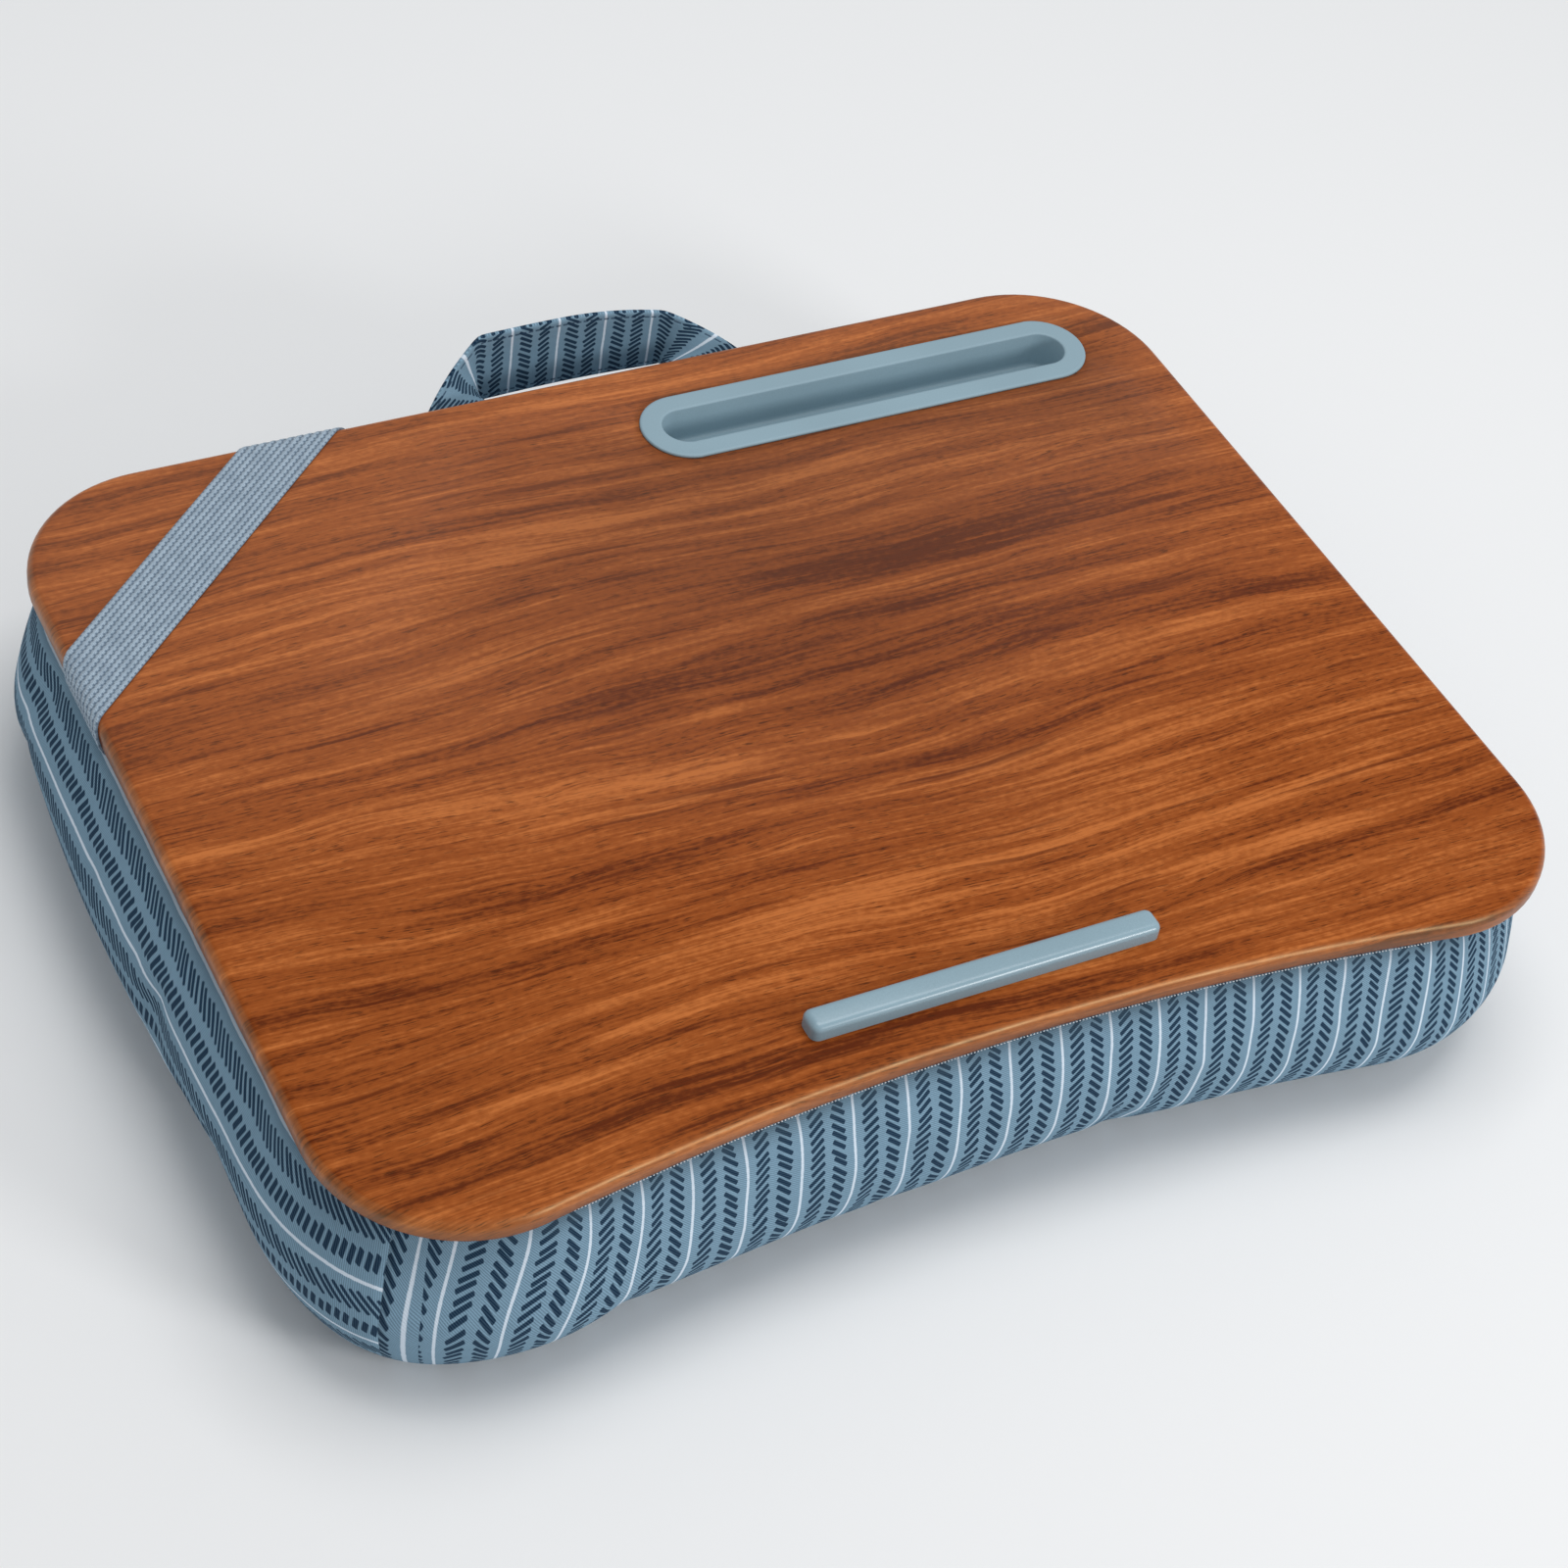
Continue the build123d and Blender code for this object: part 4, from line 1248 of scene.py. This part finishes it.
class LAPDESK_OT_stuffing(bpy.types.Operator):
    """Make the bag of stuffing and the binding tapes inside the cover"""
    bl_idname = "lapdesk.stuffing"
    bl_label = "Stuffing and seam tapes"

    def execute(self, context):
        board = context.scene.lap_desk_board
        cushion = context.scene.lap_desk_cushion
        pads = (("filling_sack", "filling_bag", "bag_fabric", BAG_INSET, tint(226, 224, 216)),
                ("bead_stuffing", "cushion_filling", "filling", BAG_INSET + 0.0008, tint(240, 238, 232)))
        for name, node, slot, inset, colour in pads:
            rings = CoverShape(board, cushion, inset).rings
            ceiling = STUFFING_TOP - inset
            rings = [[Vector((p.x, p.y, min(p.z, ceiling))) for p in ring] for ring in rings[1:]]
            bm = bmesh.new()
            _, level = loft(bm, rings)
            for number, way in ((0, 1), (len(rings) - 1, -1)):
                bmesh.ops.triangle_fill(bm, edges=loop_edges(bm, level, number), use_beauty=True,
                                        normal=(0, 0, way))
            bmesh.ops.recalc_face_normals(bm, faces=bm.faces)
            piece = finished(bm, name, plain_cloth(f"{slot}_weave", colour, 1800.0), math.radians(60))
            hand_over(piece, slot, node)
        tape = plain_cloth("binding_tape_weave", tint(70, 84, 100), 2400.0)
        shape = CoverShape(board, cushion, TAPE_INSET)
        for kind, side in ((1, "left"), (2, "right")):
            bm, station, level, panel = shape.loft()
            gone = []
            for face in bm.faces:
                near = {shape.panel((shape.column(face, station) + step) % shape.count,
                                    max(vert[level] for vert in face.verts) + rise)
                        for step in (-1, 0, 1) for rise in (-1, 0, 1)}
                if kind not in near or 0 not in near or max(vert[level] for vert in face.verts) < 3:
                    gone.append(face)
            bmesh.ops.delete(bm, geom=gone, context="FACES")
            bmesh.ops.recalc_face_normals(bm, faces=bm.faces)
            piece = finished(bm, f"seam_binding_{side}", tape)
            thicken(piece, TAPE_THICKNESS)
            hand_over(piece, "binding_tape", f"seam_tape_{side}")
        return {"FINISHED"}


# ---- carried-over nodes ---------------------------------------------------------------------------

class LAPDESK_OT_fixings(bpy.types.Operator):
    """Give the board's core, its backing, the lining and the fixings their finishes"""
    bl_idname = "lapdesk.fixings"
    bl_label = "Core, lining and fixings"

    def execute(self, context):
        steel = steel_finish()
        finishes = {
            "board_core": fibreboard_finish(),
            "backing_sheet": plain_cloth("backing_paper", tint(92, 72, 56), 900.0),
            "ledge_screws": steel,
            "strap_staples": steel,
            "hem_staples": steel,
            "handle_staples": steel,
            "cushion_lining": plain_cloth("lining_cloth", tint(60, 64, 70), 2000.0),
        }
        for node, finish in finishes.items():
            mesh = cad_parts[node].data
            mesh.materials.clear()
            mesh.materials.append(finish)
        return {"FINISHED"}


# ---- stage ------------------------------------------------------------------------------------------

CAMERA_PLACE = (-0.46968, -0.70577, 0.86924)
CAMERA_RIGHT = (0.8866, -0.44417, 0.12903)
CAMERA_UP = (0.23587, 0.67414, 0.69993)
CAMERA_BACK = (-0.39787, -0.59013, 0.70246)


def softbox(name, place, aim, size, power):
    """A large square area light."""
    lamp = bpy.data.lights.new(name, "AREA")
    lamp.shape = "SQUARE"
    lamp.size = size
    lamp.energy = power
    made = bpy.data.objects.new(name, lamp)
    made.location = place
    made.rotation_mode = "QUATERNION"
    made.rotation_quaternion = (Vector(aim) - Vector(place)).to_track_quat("-Z", "Y")
    bpy.context.scene.collection.objects.link(made)
    return made


class LAPDESK_OT_stage(bpy.types.Operator):
    """Set up the camera, the pale floor and the soft studio light"""
    bl_idname = "lapdesk.stage"
    bl_label = "Stage"

    def execute(self, context):
        stage = context.scene.lap_desk_stage
        scene = context.scene
        data = bpy.data.cameras.new("studio_camera")
        data.lens = stage.lens
        data.sensor_width = 36.0
        data.clip_start, data.clip_end = 0.01, 50.0
        camera = bpy.data.objects.new("studio_camera", data)
        turn = Matrix((CAMERA_RIGHT, CAMERA_UP, CAMERA_BACK)).transposed().to_4x4()
        camera.matrix_world = Matrix.Translation(CAMERA_PLACE) @ turn
        scene.collection.objects.link(camera)
        scene.camera = camera

        bm = bmesh.new()
        bmesh.ops.create_grid(bm, x_segments=1, y_segments=1, size=6.0)
        bmesh.ops.translate(bm, vec=(0, 0, -0.0004), verts=bm.verts)
        floor = finished(bm, "studio_floor", self.floor_finish(stage))

        world = bpy.data.worlds.new("studio_sky")
        world.use_nodes = True
        tree = world.node_tree
        sky = tree.nodes["Background"]
        sky.inputs["Color"].default_value = (0.94, 0.97, 1.0, 1.0)
        sky.inputs["Strength"].default_value = stage.sky
        white = tree.nodes.new("ShaderNodeBackground")
        white.inputs["Strength"].default_value = 1.0
        rays = tree.nodes.new("ShaderNodeLightPath")
        either = tree.nodes.new("ShaderNodeMath")
        either.operation = "MAXIMUM"
        blend = tree.nodes.new("ShaderNodeMixShader")
        tree.links.new(rays.outputs["Is Camera Ray"], either.inputs[0])
        tree.links.new(rays.outputs["Is Transmission Ray"], either.inputs[1])
        tree.links.new(either.outputs[0], blend.inputs[0])
        tree.links.new(sky.outputs[0], blend.inputs[1])
        tree.links.new(white.outputs[0], blend.inputs[2])
        tree.links.new(blend.outputs[0], tree.nodes["World Output"].inputs["Surface"])
        scene.world = world

        softbox("overhead_softbox", (0.25, 0.1, 1.9), (0.0, 0.0, 0.05), 1.3, stage.key)
        softbox("front_right_softbox", (0.95, -1.68, 0.84), (0.0, -0.1, 0.05), 0.5, stage.fill)
        scene.view_settings.view_transform = "Standard"
        return {"FINISHED"}

    def floor_finish(self, stage):
        """Pale seamless paper."""
        kit = Finish("studio_paper", roughness=0.9, specular=0.1)
        fibre = kit.noise(kit.place(), scale=60.0, detail=4.0)
        kit.feed("Base Color", kit.mix(kit.ramp(fibre, 0.3, 0.7, 0.0, 0.02), stage.floor, (0.8, 0.8, 0.8)))
        return kit.material


class LAPDESK_PT_panel(bpy.types.Panel):
    """Buttons for each part of the lap desk and its sizes"""
    bl_idname = "LAPDESK_PT_panel"
    bl_label = "Lap Desk"
    bl_space_type = "VIEW_3D"
    bl_region_type = "UI"
    bl_category = "Lap Desk"

    def draw(self, context):
        for name, group in SETTINGS.items():
            box = self.layout.box()
            box.label(text=group.__doc__)
            for prop in group.__annotations__:
                box.prop(getattr(context.scene, name), prop)
        for operator in OPERATORS:
            self.layout.operator(operator.bl_idname)


OPERATORS = (
    LAPDESK_OT_stage,
    LAPDESK_OT_board,
    LAPDESK_OT_phone_slot,
    LAPDESK_OT_ledge,
    LAPDESK_OT_strap,
    LAPDESK_OT_handle,
    LAPDESK_OT_cushion,
    LAPDESK_OT_overlock,
    LAPDESK_OT_stuffing,
    LAPDESK_OT_fixings,
)
CLASSES = (*SETTINGS.values(), *OPERATORS, LAPDESK_PT_panel)


def register():
    for cls in CLASSES:
        bpy.utils.register_class(cls)
    for name, group in SETTINGS.items():
        setattr(bpy.types.Scene, name, PointerProperty(type=group))


def unregister():
    for name in SETTINGS:
        delattr(bpy.types.Scene, name)
    for cls in reversed(CLASSES):
        bpy.utils.unregister_class(cls)


def main():
    register()
    bpy.ops.lapdesk.stage()
    bpy.ops.lapdesk.board()
    bpy.ops.lapdesk.phone_slot()
    bpy.ops.lapdesk.ledge()
    bpy.ops.lapdesk.strap()
    bpy.ops.lapdesk.handle()
    bpy.ops.lapdesk.cushion()
    bpy.ops.lapdesk.overlock()
    bpy.ops.lapdesk.stuffing()
    bpy.ops.lapdesk.fixings()


if __name__ == "__main__":
    main()
